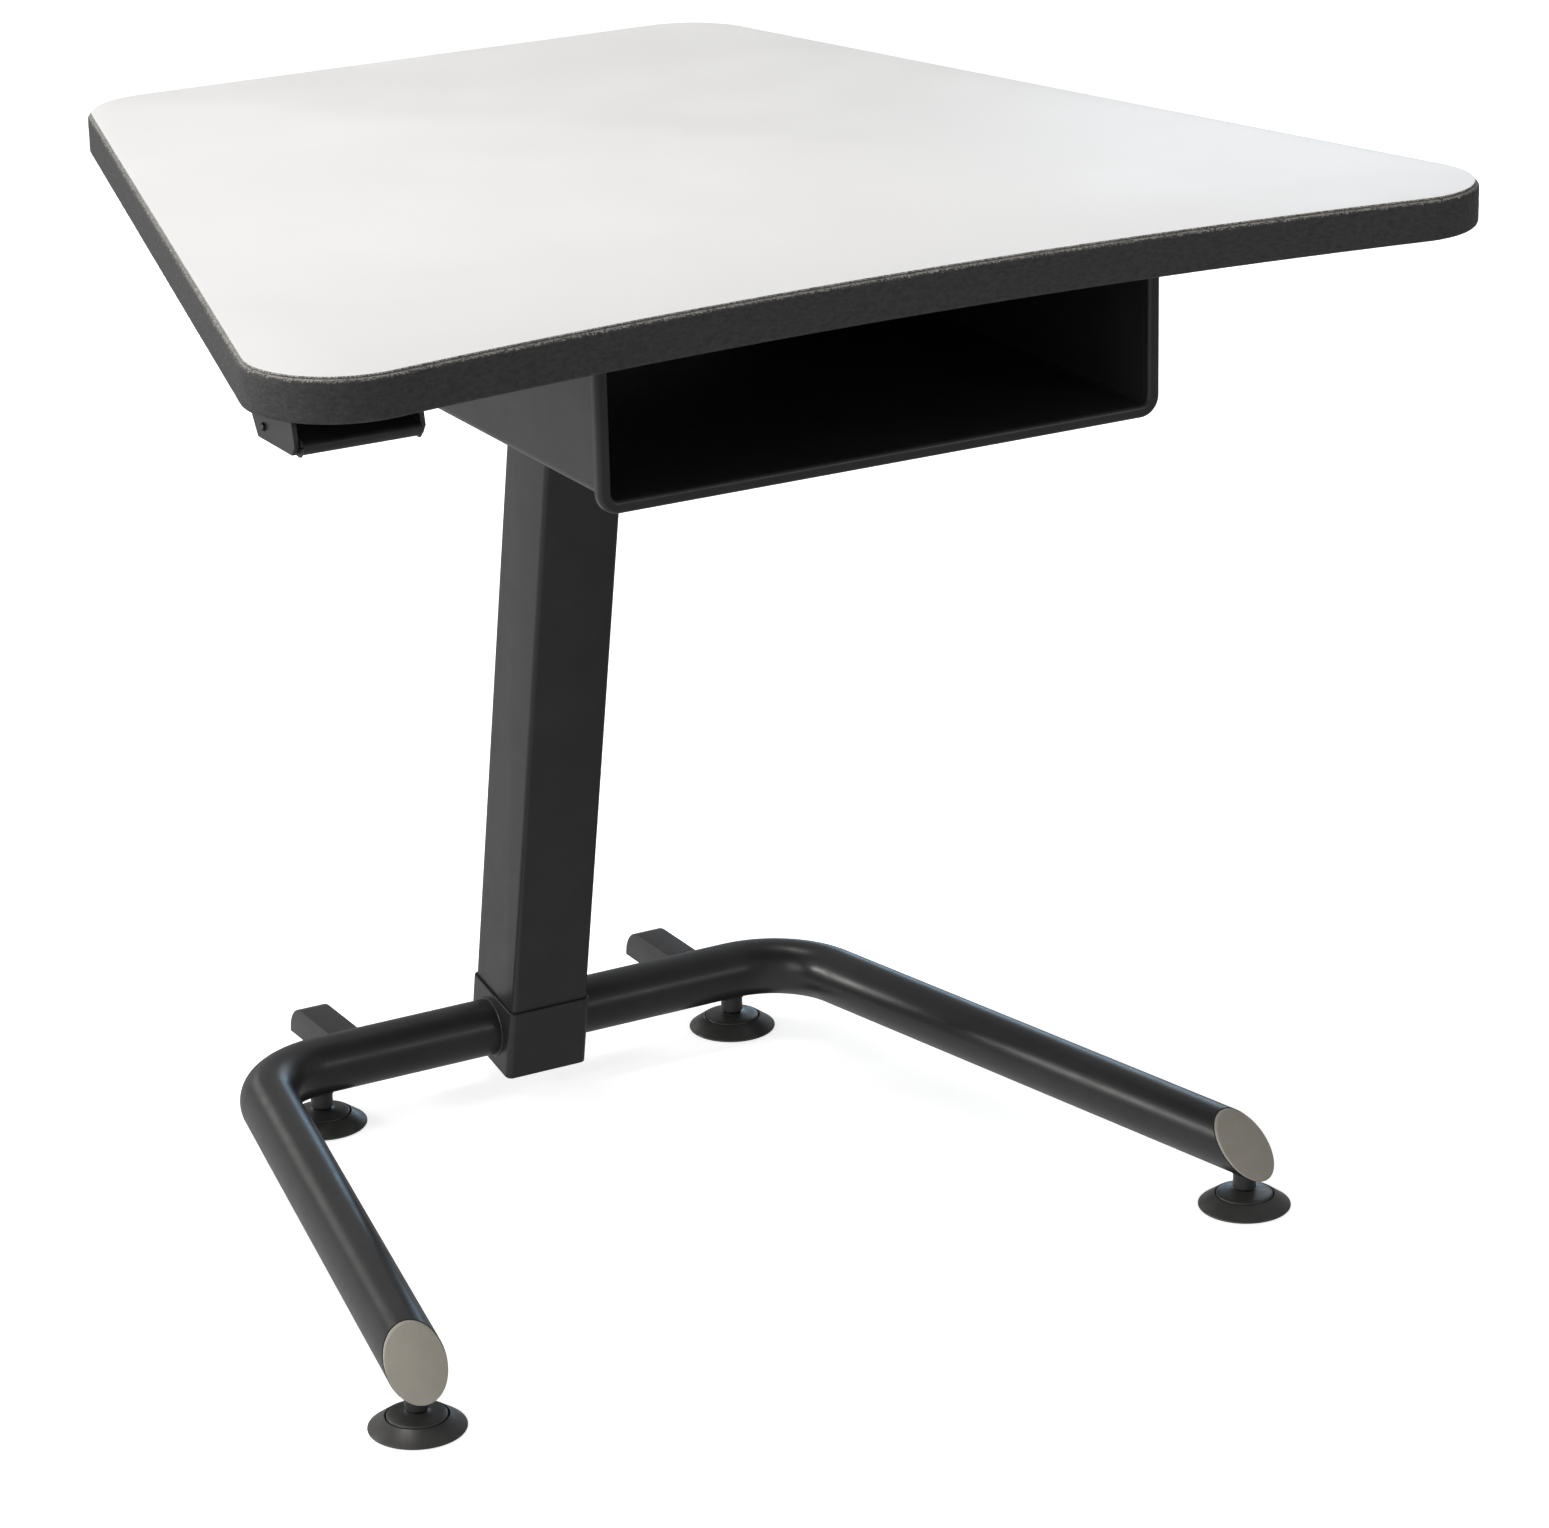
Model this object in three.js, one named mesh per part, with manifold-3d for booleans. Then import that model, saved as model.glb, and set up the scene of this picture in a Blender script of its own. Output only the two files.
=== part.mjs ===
// Height-adjustable teacher desk: a trapezoid worktop with a book box on one leaning telescopic
// column, carried by a U-shaped tube base with four swivel levellers. Millimetres, +Z up, the user
// sits on the -Y side. Origin: on the floor, at the centre of the desk's footprint.
import * as THREE from 'three';
import { mergeVertices } from 'three/addons/utils/BufferGeometryUtils.js';
import Module from 'manifold-3d';

const wasm = await Module();
wasm.setup();

const GAP = 0.3; // clearance between pieces that touch

// Worktop: a trapezoid, wide at the front, with a shallow concave front edge
const TOP_HEIGHT = 748;
const TOP_THICKNESS = 28.6;
const TOP_FRONT = 910;
const TOP_REAR = 500;
const TOP_DEPTH = 776;
const TOP_SAG = 42; // how far the front edge curves in at its middle
const TOP_CORNER = 60;
const TOP_REAR_OVERHANG = 151.5; // rear edge behind the crossbar
const LAMINATE = 1.2;
const BACKER = 0.8;
const BAND_WALL = 3.5;
const BAND_BEVEL = 2.5;
const UNDERSIDE = TOP_HEIGHT - TOP_THICKNESS;

// Base: one round tube bent to a U, its legs splayed and cut at a slant
const TUBE_R = 21.2;
const TUBE_WALL = 2;
const TUBE_Z = 46.2;
const CORNER_X = 223.8; // where the crossbar's axis and a leg's axis would meet
const SPLAY = THREE.MathUtils.degToRad(11.7);
const BEND_R = 65;
const LEG_LENGTH = 487; // from that corner to the middle of the slanted end
const END_SLANT = THREE.MathUtils.degToRad(44);
const CAP_LIP = 2;

// Rear heel bars
const HEEL_X = 142.5;
const HEEL_SIZE = 23.5;
const HEEL_TOP = 59.5;
const HEEL_REACH = 94; // tip behind the crossbar's axis

// Telescopic column, leaning forward from the crossbar; s is measured along its axis
const LEAN = Math.atan(0.2);
const OUTER_SIZE = 62;
const COLUMN_WALL = 2.5;
const INNER_SIZE = 52;
const COLUMN_CORNER = 3.5;
const OUTER_BOTTOM = -28;
const OUTER_TOP = 585;
const INNER_BOTTOM = 50;
const COLLAR_SIZE = 66;
const COLLAR_HALF = 28.3;
const BUSH_LENGTH = 40;
const ROD_R = 5;
const ROD_TOP = 500;
const CYLINDER_R = 13.5;
const CYLINDER_BOTTOM = 72;
const CYLINDER_TOP = 674;
const CABLE_ENTRY_S = 668; // where the release cable goes through the inner column's left wall

// Head plate between the column and the worktop
const PLATE_WIDTH = 260;
const PLATE_DEPTH = 190;
const PLATE_THICKNESS = 5;
const PLATE_Y = -134;

// Book box, open at the front
const BOX_HALF = 195.8;
const BOX_BOTTOM = 621.8;
const BOX_FRONT = -544;
const BOX_REAR = -244;
const BOX_SHEET = 1.6;
const BOX_BEND = 5;
const BOX_FLANGE = 18;
const RIM_PROUD = 7.2;
const RIM_DEPTH = 9;
const RIM_ROUND = 3;

// Levellers
const FRONT_FOOT = [322.9, -475];
const REAR_FOOT = [172.4, 0];
const PAD_R = 32.75;
const CAP_R = 20.3;
const STEM_R = 5;
const STEM_TOP = 33;
const BOSS_R = 8.2; // threaded boss welded into the tube's underside
const BOSS_BOTTOM = 14;
const BOSS_TOP = 31;

// Release paddle under the left end of the front edge
const PADDLE_X = -377;
const PADDLE_WIDTH = 76;
const PIVOT_Y = -540;
const PIVOT_Z = UNDERSIDE - 13;
const PIN_R = 2.5;

const SCREW_R = 2.2;
const SCREW_HEAD_R = 4.6;
const SCREW_HEAD_H = 2.6;
const SCREW_LENGTH = 16;

const material = (color, roughness, metalness) =>
  new THREE.MeshStandardMaterial({ color, roughness, metalness });
const whiteboard = () => material(0xf1f1f2, 0.35, 0);
const sprayedEdge = () => material(0x2b2b2b, 0.9, 0);
const powderCoat = () => material(0x1b1c1e, 0.4, 0.2);
const fibreboard = () => material(0xa58a64, 0.9, 0);
const backing = () => material(0x3a3633, 0.8, 0);
const blackPlastic = () => material(0x121212, 0.45, 0);
const capPlastic = () => material(0x86807a, 0.55, 0);
const brightSteel = () => material(0xb9bcc0, 0.3, 0.9);

const desk = new THREE.Group();

// ---- geometry helpers -------------------------------------------------------------------------

// A closed three.js geometry as a manifold-3d solid, ready to be joined or cut.
function solid(geometry) {
  const bare = geometry.index ? geometry.toNonIndexed() : geometry.clone();
  bare.deleteAttribute('normal');
  bare.deleteAttribute('uv');
  const merged = mergeVertices(bare, 1e-3);
  return new wasm.Manifold(new wasm.Mesh({
    numProp: 3,
    vertProperties: merged.attributes.position.array,
    triVerts: new Uint32Array(merged.index.array),
  }));
}

function geometryOf(manifold) {
  const made = manifold.getMesh();
  const geometry = new THREE.BufferGeometry();
  geometry.setAttribute('position', new THREE.BufferAttribute(made.vertProperties, 3));
  geometry.setIndex(new THREE.BufferAttribute(made.triVerts, 1));
  const flat = geometry.toNonIndexed();
  flat.computeVertexNormals();
  return flat;
}

function add(parent, name, shape, finish) {
  const geometry = shape.isBufferGeometry ? shape : geometryOf(shape);
  const mesh = new THREE.Mesh(geometry, finish);
  mesh.name = name;
  parent.add(mesh);
  return mesh;
}

function extrude(shape, from, to, curveSegments = 4, more = {}) {
  const options = { depth: to - from, bevelEnabled: false, curveSegments, ...more };
  return new THREE.ExtrudeGeometry(shape, options).translate(0, 0, from);
}

// A profile drawn in X and Z, swept from y = front back to y = rear.
function extrudeY(shape, front, rear, curveSegments = 4, more = {}) {
  const options = { depth: rear - front, bevelEnabled: false, curveSegments, ...more };
  return new THREE.ExtrudeGeometry(shape, options).rotateX(Math.PI / 2).translate(0, rear, 0);
}

// A profile drawn in Y and Z, swept from x = left to x = right.
function extrudeX(shape, left, right, curveSegments = 4) {
  const options = { depth: right - left, bevelEnabled: false, curveSegments };
  const geometry = new THREE.ExtrudeGeometry(shape, options);
  return geometry.rotateX(Math.PI / 2).rotateZ(Math.PI / 2).translate(left, 0, 0);
}

// A round solid about +Z from [radius, height] pairs that start and end on the axis.
function turned(profile, segments = 24) {
  const points = profile.map(([r, z]) => new THREE.Vector2(r, z));
  return new THREE.LatheGeometry(points, segments).rotateX(Math.PI / 2);
}

function box(width, depth, height, x, y, z) {
  return new THREE.BoxGeometry(width, depth, height).translate(x, y, z);
}

function rodZ(radius, from, to, segments = 16) {
  const rod = new THREE.CylinderGeometry(radius, radius, to - from, segments);
  return rod.rotateX(Math.PI / 2).translate(0, 0, (from + to) / 2);
}

function rodX(radius, length, segments = 24) {
  return new THREE.CylinderGeometry(radius, radius, length, segments).rotateZ(Math.PI / 2);
}

function roundedSquare(size, radius, path = new THREE.Shape()) {
  const c = size / 2 - radius;
  path.absarc(c, c, radius, 0, Math.PI / 2, false);
  path.absarc(-c, c, radius, Math.PI / 2, Math.PI, false);
  path.absarc(-c, -c, radius, Math.PI, 1.5 * Math.PI, false);
  path.absarc(c, -c, radius, 1.5 * Math.PI, 2 * Math.PI, false);
  path.closePath();
  return path;
}

function squareTube(outer, inner, radius, from, to) {
  const shape = roundedSquare(outer, radius);
  const bore = Math.max(radius - (outer - inner) / 2, 0.8);
  shape.holes.push(roundedSquare(inner, bore, new THREE.Path()));
  return extrude(shape, from, to, 2);
}

// ---- worktop ----------------------------------------------------------------------------------

const topRearY = TOP_REAR_OVERHANG;
const topFrontY = TOP_REAR_OVERHANG - TOP_DEPTH;
const sideTilt = Math.atan2((TOP_FRONT - TOP_REAR) / 2, TOP_DEPTH);
const arcRadius = (TOP_FRONT ** 2 / 4 + TOP_SAG ** 2) / (2 * TOP_SAG);
const arcY = topFrontY + TOP_SAG - arcRadius;

// Centres of the right-hand corner roundings: each lies one corner radius inside both edges.
function cornerCentres() {
  const normal = new THREE.Vector2(Math.cos(sideTilt), Math.sin(sideTilt));
  const along = new THREE.Vector2(normal.y, -normal.x);
  const start = new THREE.Vector2(TOP_REAR / 2, topRearY).addScaledVector(normal, -TOP_CORNER);
  const rearY = topRearY - TOP_CORNER;
  const rear = start.clone().addScaledVector(along, (rearY - start.y) / along.y);
  const toArc = start.clone().sub(new THREE.Vector2(0, arcY));
  const reach = arcRadius + TOP_CORNER;
  const b = toArc.dot(along);
  const c = toArc.lengthSq() - reach ** 2;
  const front = start.clone().addScaledVector(along, -b - Math.sqrt(b * b - c));
  return { rear, front };
}

// The worktop's outline, moved inwards by an inset, as a shape or as a hole.
function topOutline(inset, path = new THREE.Shape()) {
  const { rear, front } = cornerCentres();
  const r = TOP_CORNER - inset;
  const toArc = Math.atan2(arcY - front.y, -front.x) + 2 * Math.PI;
  const toArcLeft = 3 * Math.PI - toArc;
  const arcRight = toArc - Math.PI;
  path.absarc(rear.x, rear.y, r, sideTilt, Math.PI / 2, false);
  path.absarc(-rear.x, rear.y, r, Math.PI / 2, Math.PI - sideTilt, false);
  path.absarc(-front.x, front.y, r, Math.PI - sideTilt, toArcLeft, false);
  path.absarc(0, arcY, arcRadius + inset, Math.PI - arcRight, arcRight, true);
  path.absarc(front.x, front.y, r, toArc, 2 * Math.PI + sideTilt, false);
  path.closePath();
  return path;
}

const screwPlaces = []; // [x, y, underside of the piece that it clamps]
for (const x of [-1, 1]) {
  for (const y of [-1, 0, 1]) {
    const plateBottom = UNDERSIDE - GAP - PLATE_THICKNESS;
    screwPlaces.push([x * (PLATE_WIDTH / 2 - 15), PLATE_Y + y * (PLATE_DEPTH / 2 - 15), plateBottom]);
  }
}
for (const x of [-1, 1]) {
  for (const y of [BOX_FRONT + 45, BOX_REAR - 30]) {
    screwPlaces.push([x * (BOX_HALF + BOX_FLANGE / 2), y, UNDERSIDE - GAP - BOX_SHEET]);
  }
}
const bracketScrews = [-20, 20].map((x) => [PADDLE_X + x, PIVOT_Y + 12, UNDERSIDE - GAP - BOX_SHEET]);
screwPlaces.push(...bracketScrews);

function drillForScrews(manifold, places = screwPlaces) {
  return places.reduce((rest, [x, y, z]) => {
    const hole = rodZ(SCREW_R + GAP, z - 1, z + SCREW_LENGTH + 1, 10).translate(x, y, 0);
    return rest.subtract(solid(hole));
  }, manifold);
}

function buildWorktop() {
  const coreTop = TOP_HEIGHT - LAMINATE - GAP;
  const bevel = { bevelEnabled: true, bevelThickness: BAND_BEVEL, bevelSize: BAND_BEVEL };
  const bevels = { ...bevel, bevelOffset: -BAND_BEVEL, bevelSegments: 1 };
  const skin = extrude(topOutline(0), UNDERSIDE + BAND_BEVEL, coreTop - BAND_BEVEL, 6, bevels);
  const well = extrude(topOutline(BAND_WALL), UNDERSIDE - 5, coreTop + 5, 6);
  add(desk, 'edge_band', solid(skin).subtract(solid(well)), sprayedEdge());

  const inside = BAND_WALL + GAP;
  const core = extrude(topOutline(inside), UNDERSIDE + BACKER + GAP, coreTop, 6);
  add(desk, 'worktop_core', drillForScrews(solid(core)), fibreboard());
  const sheet = extrude(topOutline(BAND_BEVEL), TOP_HEIGHT - LAMINATE, TOP_HEIGHT, 6);
  add(desk, 'worktop_laminate', sheet, whiteboard());
  const backer = extrude(topOutline(inside), UNDERSIDE, UNDERSIDE + BACKER, 6);
  add(desk, 'backer_sheet', drillForScrews(solid(backer)), backing());
}

// Pan-head screws, driven upwards; the head's flat seat clamps the piece above it.
function buildScrews() {
  const profile = [
    [0, -SCREW_HEAD_H], [SCREW_HEAD_R * 0.7, -SCREW_HEAD_H], [SCREW_HEAD_R, -SCREW_HEAD_H * 0.45],
    [SCREW_HEAD_R, 0], [SCREW_R, 0], [SCREW_R, SCREW_LENGTH - 3], [0, SCREW_LENGTH],
  ];
  screwPlaces.forEach(([x, y, z], index) => {
    const screw = turned(profile, 10).translate(x, y, z - GAP);
    const use = index < 6 ? 'plate' : index < 10 ? 'box' : 'bracket';
    const number = index < 6 ? index + 1 : index < 10 ? index - 5 : index - 9;
    add(desk, `${use}_screw_${number}`, screw, brightSteel());
  });
}

// ---- base -------------------------------------------------------------------------------------

const legDirection = (side) =>
  new THREE.Vector3(side * Math.sin(SPLAY), -Math.cos(SPLAY), 0);

// The U's centre line. Its parameter spends one step on each straight and ten on each bend.
class BasePath extends THREE.Curve {
  constructor(endLength) {
    super();
    const turn = Math.PI / 2 - SPLAY;
    const trim = BEND_R * Math.tan(turn / 2);
    this.stops = [];
    this.straight = (a, b) => (t) => new THREE.Vector3().lerpVectors(a, b, t);
    this.bend = (side) => (t) => {
      const angle = side < 0 ? turn * (1 - t) : turn * t;
      const x = CORNER_X - trim + BEND_R * Math.sin(angle);
      return new THREE.Vector3(side * x, -BEND_R * (1 - Math.cos(angle)), TUBE_Z);
    };
    const corner = (side) => new THREE.Vector3(side * CORNER_X, 0, TUBE_Z);
    const leg = (side, d) => corner(side).addScaledVector(legDirection(side), d);
    const bar = (side) => new THREE.Vector3(side * (CORNER_X - trim), 0, TUBE_Z);
    this.pieces = [
      [1, this.straight(leg(-1, endLength), leg(-1, trim))],
      [10, this.bend(-1)],
      [1, this.straight(bar(-1), bar(1))],
      [10, this.bend(1)],
      [1, this.straight(leg(1, trim), leg(1, endLength))],
    ];
    this.steps = 23;
  }

  getPoint(t) {
    let step = THREE.MathUtils.clamp(t, 0, 1) * this.steps;
    for (const [count, place] of this.pieces) {
      if (step <= count + 1e-9) return place(Math.min(step / count, 1));
      step -= count;
    }
    return this.pieces[4][1](1);
  }

  getPointAt(t) {
    return this.getPoint(t);
  }

  getTangentAt(t) {
    return this.getTangent(t);
  }
}

function tubeAlong(path, radius, sides) {
  const section = new THREE.Shape();
  section.absarc(0, 0, radius, 0, 2 * Math.PI, false);
  const options = { extrudePath: path, steps: path.steps, curveSegments: sides / 2 };
  return solid(new THREE.ExtrudeGeometry(section, options));
}

// A block that covers everything beyond the slanted end plane of a leg, moved along by a shift.
function beyondEnd(side, shift) {
  const size = 160;
  const block = new THREE.BoxGeometry(size, size, size).translate(0, -size / 2, 0);
  const centre = new THREE.Vector3(side * CORNER_X, 0, TUBE_Z);
  centre.addScaledVector(legDirection(side), LEG_LENGTH + shift);
  const turn = new THREE.Matrix4().makeRotationZ(side * SPLAY);
  const slant = new THREE.Matrix4().makeRotationX(-END_SLANT);
  block.applyMatrix4(slant).applyMatrix4(turn);
  return solid(block.translate(centre.x, centre.y, centre.z));
}

function legRod(side, radius, from, to) {
  const rod = new THREE.CylinderGeometry(radius, radius, to - from, 24);
  rod.translate(0, -(from + to) / 2, 0).rotateZ(side * SPLAY);
  return solid(rod.translate(side * CORNER_X, 0, TUBE_Z));
}

const feet = [
  ['front_left', -FRONT_FOOT[0], FRONT_FOOT[1]],
  ['front_right', FRONT_FOOT[0], FRONT_FOOT[1]],
  ['rear_left', -REAR_FOOT[0], REAR_FOOT[1]],
  ['rear_right', REAR_FOOT[0], REAR_FOOT[1]],
];

function buildBase() {
  const path = new BasePath(LEG_LENGTH + 40);
  const lipSeat = (CAP_LIP + GAP) / Math.cos(END_SLANT);
  let tube = tubeAlong(path, TUBE_R, 24);
  tube = tube.subtract(tubeAlong(new BasePath(LEG_LENGTH + 60), TUBE_R - TUBE_WALL, 20));
  for (const side of [-1, 1]) tube = tube.subtract(beyondEnd(side, -lipSeat));
  for (const [, x, y] of feet) {
    tube = tube.subtract(solid(rodZ(BOSS_R + GAP, 0, TUBE_Z, 16).translate(x, y, 0)));
  }
  add(desk, 'base_tube', tube, powderCoat());

  for (const [side, word] of [[-1, 'left'], [1, 'right']]) {
    const reach = TUBE_R * Math.tan(END_SLANT) + 5;
    const plugLength = 34;
    const plug = legRod(side, TUBE_R - TUBE_WALL - GAP, LEG_LENGTH - plugLength, LEG_LENGTH + reach);
    const lip = legRod(side, TUBE_R - 0.5, LEG_LENGTH - 60, LEG_LENGTH + reach);
    const lipSlab = lip.subtract(beyondEnd(side, 0)).intersect(beyondEnd(side, -lipSeat + GAP));
    const clear = solid(rodZ(10, 0, TUBE_Z, 16).translate(side * FRONT_FOOT[0], FRONT_FOOT[1], 0));
    const body = plug.subtract(beyondEnd(side, -0.5)).subtract(clear);
    const keep = body.intersect(beyondEnd(side, -8));
    add(desk, `leg_end_cap_${word}`, keep.add(lipSlab), capPlastic());
  }
}

// Two square bars welded behind the crossbar; the tip's upper edge is one full rounding.
function buildHeelBars() {
  const shape = new THREE.Shape();
  const flatEnd = HEEL_REACH - HEEL_SIZE;
  const bottom = HEEL_TOP - HEEL_SIZE;
  shape.moveTo(2, bottom);
  shape.lineTo(HEEL_REACH, bottom);
  shape.absarc(flatEnd, bottom, HEEL_SIZE, 0, Math.PI / 2, false);
  shape.lineTo(2, HEEL_TOP);
  shape.closePath();
  for (const [side, word] of [[-1, 'left'], [1, 'right']]) {
    const bar = solid(extrudeX(shape, side * HEEL_X - HEEL_SIZE / 2, side * HEEL_X + HEEL_SIZE / 2, 5));
    const saddle = rodX(TUBE_R + GAP, 60).translate(side * HEEL_X, 0, TUBE_Z);
    add(desk, `heel_bar_${word}`, bar.subtract(solid(saddle)), powderCoat());
  }
}

// ---- column -----------------------------------------------------------------------------------

const column = new THREE.Group();
column.position.set(0, 0, TUBE_Z);
column.rotation.x = LEAN;
desk.add(column);

// In the column's own frame: everything above a level plane at a height over the floor.
function aboveLevel(height) {
  const size = 400;
  const block = new THREE.BoxGeometry(size, size, size).translate(0, 0, size / 2 + height - TUBE_Z);
  return solid(block.translate(0, PLATE_Y, 0).rotateX(-LEAN));
}

function buildColumn() {
  const crossbar = () => solid(rodX(TUBE_R + GAP, 120));
  const outerBore = OUTER_SIZE - 2 * COLUMN_WALL;
  const innerBore = INNER_SIZE - 2 * COLUMN_WALL;
  const slideSize = outerBore - 2 * GAP;
  const slideBore = INNER_SIZE + 2 * GAP;

  const collarBore = OUTER_SIZE + 2 * GAP;
  const collar = squareTube(COLLAR_SIZE, collarBore, COLUMN_CORNER + 1.5, -COLLAR_HALF, COLLAR_HALF);
  add(column, 'base_collar', solid(collar).subtract(crossbar()), powderCoat());

  const outer = squareTube(OUTER_SIZE, outerBore, COLUMN_CORNER, OUTER_BOTTOM, OUTER_TOP);
  add(column, 'outer_column', solid(outer).subtract(crossbar()), powderCoat());

  const plug = extrude(roundedSquare(slideSize, 1.5), OUTER_BOTTOM, OUTER_BOTTOM + 4.5, 2);
  add(column, 'column_bottom_cap', plug, blackPlastic());

  const liner = squareTube(slideSize, slideBore, 1.2, OUTER_TOP - BUSH_LENGTH, OUTER_TOP + 1);
  const flange = squareTube(OUTER_SIZE - 0.5, slideBore, COLUMN_CORNER, OUTER_TOP + GAP, OUTER_TOP + 4);
  add(column, 'column_guide_bush', solid(liner).add(solid(flange)), blackPlastic());

  const inner = squareTube(INNER_SIZE, innerBore, COLUMN_CORNER, INNER_BOTTOM, OUTER_TOP + 200);
  const plateBottom = UNDERSIDE - GAP - PLATE_THICKNESS;
  const cableHole = rodX(4, 20, 12).translate(-INNER_SIZE / 2, 0, CABLE_ENTRY_S);
  const innerCut = solid(inner).subtract(aboveLevel(plateBottom - GAP)).subtract(solid(cableHole));
  add(column, 'inner_column', innerCut, powderCoat());

  const ring = squareTube(slideSize, slideBore, 1.2, INNER_BOTTOM - 1, INNER_BOTTOM + 30);
  const sill = squareTube(slideSize, innerBore, 1.2, INNER_BOTTOM - 4, INNER_BOTTOM - GAP);
  add(column, 'column_slide_shoe', solid(ring).add(solid(sill)), blackPlastic());

  const anchorBottom = TUBE_R + 2 * GAP;
  const anchor = solid(extrude(roundedSquare(slideSize, 1.5), anchorBottom, anchorBottom + 8, 2));
  const stud = solid(rodZ(ROD_R + GAP, 0, 60));
  add(column, 'gas_spring_anchor', anchor.subtract(stud), powderCoat());

  add(column, 'gas_spring_rod', rodZ(ROD_R, anchorBottom, ROD_TOP), brightSteel());
  const bore = CYLINDER_R - 2.5;
  const barrel = [
    [ROD_R + GAP, CYLINDER_BOTTOM], [CYLINDER_R, CYLINDER_BOTTOM], [CYLINDER_R, CYLINDER_TOP],
    [0, CYLINDER_TOP], [0, CYLINDER_TOP - 10], [bore, CYLINDER_TOP - 10],
    [bore, CYLINDER_BOTTOM + 14], [ROD_R + GAP, CYLINDER_BOTTOM + 14],
    [ROD_R + GAP, CYLINDER_BOTTOM],
  ];
  add(column, 'gas_spring_cylinder', turned(barrel, 20), powderCoat());
}

function buildHead() {
  const top = UNDERSIDE - GAP;
  const plate = box(PLATE_WIDTH, PLATE_DEPTH, PLATE_THICKNESS, 0, PLATE_Y, top - PLATE_THICKNESS / 2);
  add(desk, 'head_plate', drillForScrews(solid(plate)), powderCoat());

  const upper = top - PLATE_THICKNESS - GAP;
  const lower = upper - 62;
  const axisY = (z) => -(z - TUBE_Z) * Math.tan(LEAN);
  const shape = new THREE.Shape();
  shape.moveTo(axisY(upper) - 85, upper);
  shape.lineTo(axisY(lower) - 22, lower);
  shape.lineTo(axisY(lower) + 22, lower);
  shape.lineTo(axisY(upper) + 85, upper);
  shape.closePath();
  const near = INNER_SIZE / 2 + GAP;
  const thick = 5;
  const cableSlot = rodX(5, 60, 12).translate(-near, axisY(TUBE_Z + CABLE_ENTRY_S * Math.cos(LEAN)),
    TUBE_Z + CABLE_ENTRY_S * Math.cos(LEAN));
  const left = solid(extrudeX(shape, -near - thick, -near)).subtract(solid(cableSlot));
  add(desk, 'gusset_left', left, powderCoat());
  add(desk, 'gusset_right', extrudeX(shape, near, near + thick), powderCoat());
}

// ---- book box ---------------------------------------------------------------------------------

// Half of a U drawn from its top right down and round to its top left, at an offset from the wall.
function boxU(path, half, bottom, radius, top, backwards = false) {
  if (!backwards) {
    path.lineTo(half, top);
    path.absarc(half - radius, bottom + radius, radius, 0, -Math.PI / 2, true);
    path.absarc(-half + radius, bottom + radius, radius, -Math.PI / 2, -Math.PI, true);
    path.lineTo(-half, top);
  } else {
    path.lineTo(-half, top);
    path.absarc(-half + radius, bottom + radius, radius, Math.PI, 1.5 * Math.PI, false);
    path.absarc(half - radius, bottom + radius, radius, -Math.PI / 2, 0, false);
    path.lineTo(half, top);
  }
}

function buildBookBox() {
  const top = UNDERSIDE - GAP;
  const flangeX = BOX_HALF + BOX_FLANGE;
  const sheet = new THREE.Shape();
  sheet.moveTo(flangeX, top);
  sheet.lineTo(flangeX, top - BOX_SHEET);
  boxU(sheet, BOX_HALF, BOX_BOTTOM, BOX_BEND + BOX_SHEET, top - BOX_SHEET);
  sheet.lineTo(-flangeX, top - BOX_SHEET);
  sheet.lineTo(-flangeX, top);
  boxU(sheet, BOX_HALF - BOX_SHEET, BOX_BOTTOM + BOX_SHEET, BOX_BEND, top, true);
  sheet.closePath();
  const panFront = BOX_FRONT + RIM_DEPTH + GAP;
  const walls = solid(extrudeY(sheet, panFront, BOX_REAR, 3));
  const backShape = new THREE.Shape();
  backShape.moveTo(BOX_HALF - 0.5, top);
  boxU(backShape, BOX_HALF - 0.5, BOX_BOTTOM + 0.5, BOX_BEND + BOX_SHEET - 0.5, top);
  backShape.closePath();
  const back = solid(extrudeY(backShape, BOX_REAR - BOX_SHEET, BOX_REAR, 3));
  add(desk, 'book_box_pan', drillForScrews(walls.add(back)), powderCoat());

  // The rim's section before its rounding is added all round.
  const proud = RIM_PROUD - RIM_ROUND;
  const inset = BOX_SHEET - RIM_ROUND;
  const bead = new THREE.Shape();
  const beadTop = top - RIM_ROUND;
  bead.moveTo(BOX_HALF + proud, beadTop);
  boxU(bead, BOX_HALF + proud, BOX_BOTTOM - proud, BOX_BEND + BOX_SHEET + proud, beadTop);
  boxU(bead, BOX_HALF - inset, BOX_BOTTOM + inset, BOX_BEND + RIM_ROUND, beadTop, true);
  bead.closePath();
  const bevel = { bevelEnabled: true, bevelThickness: RIM_ROUND, bevelSize: RIM_ROUND };
  const bevels = { ...bevel, bevelSegments: 2 };
  const rim = extrudeY(bead, BOX_FRONT + RIM_ROUND, BOX_FRONT + RIM_DEPTH - RIM_ROUND, 4, bevels);
  add(desk, 'book_box_rim', rim, powderCoat());
}

// ---- levellers --------------------------------------------------------------------------------

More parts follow.
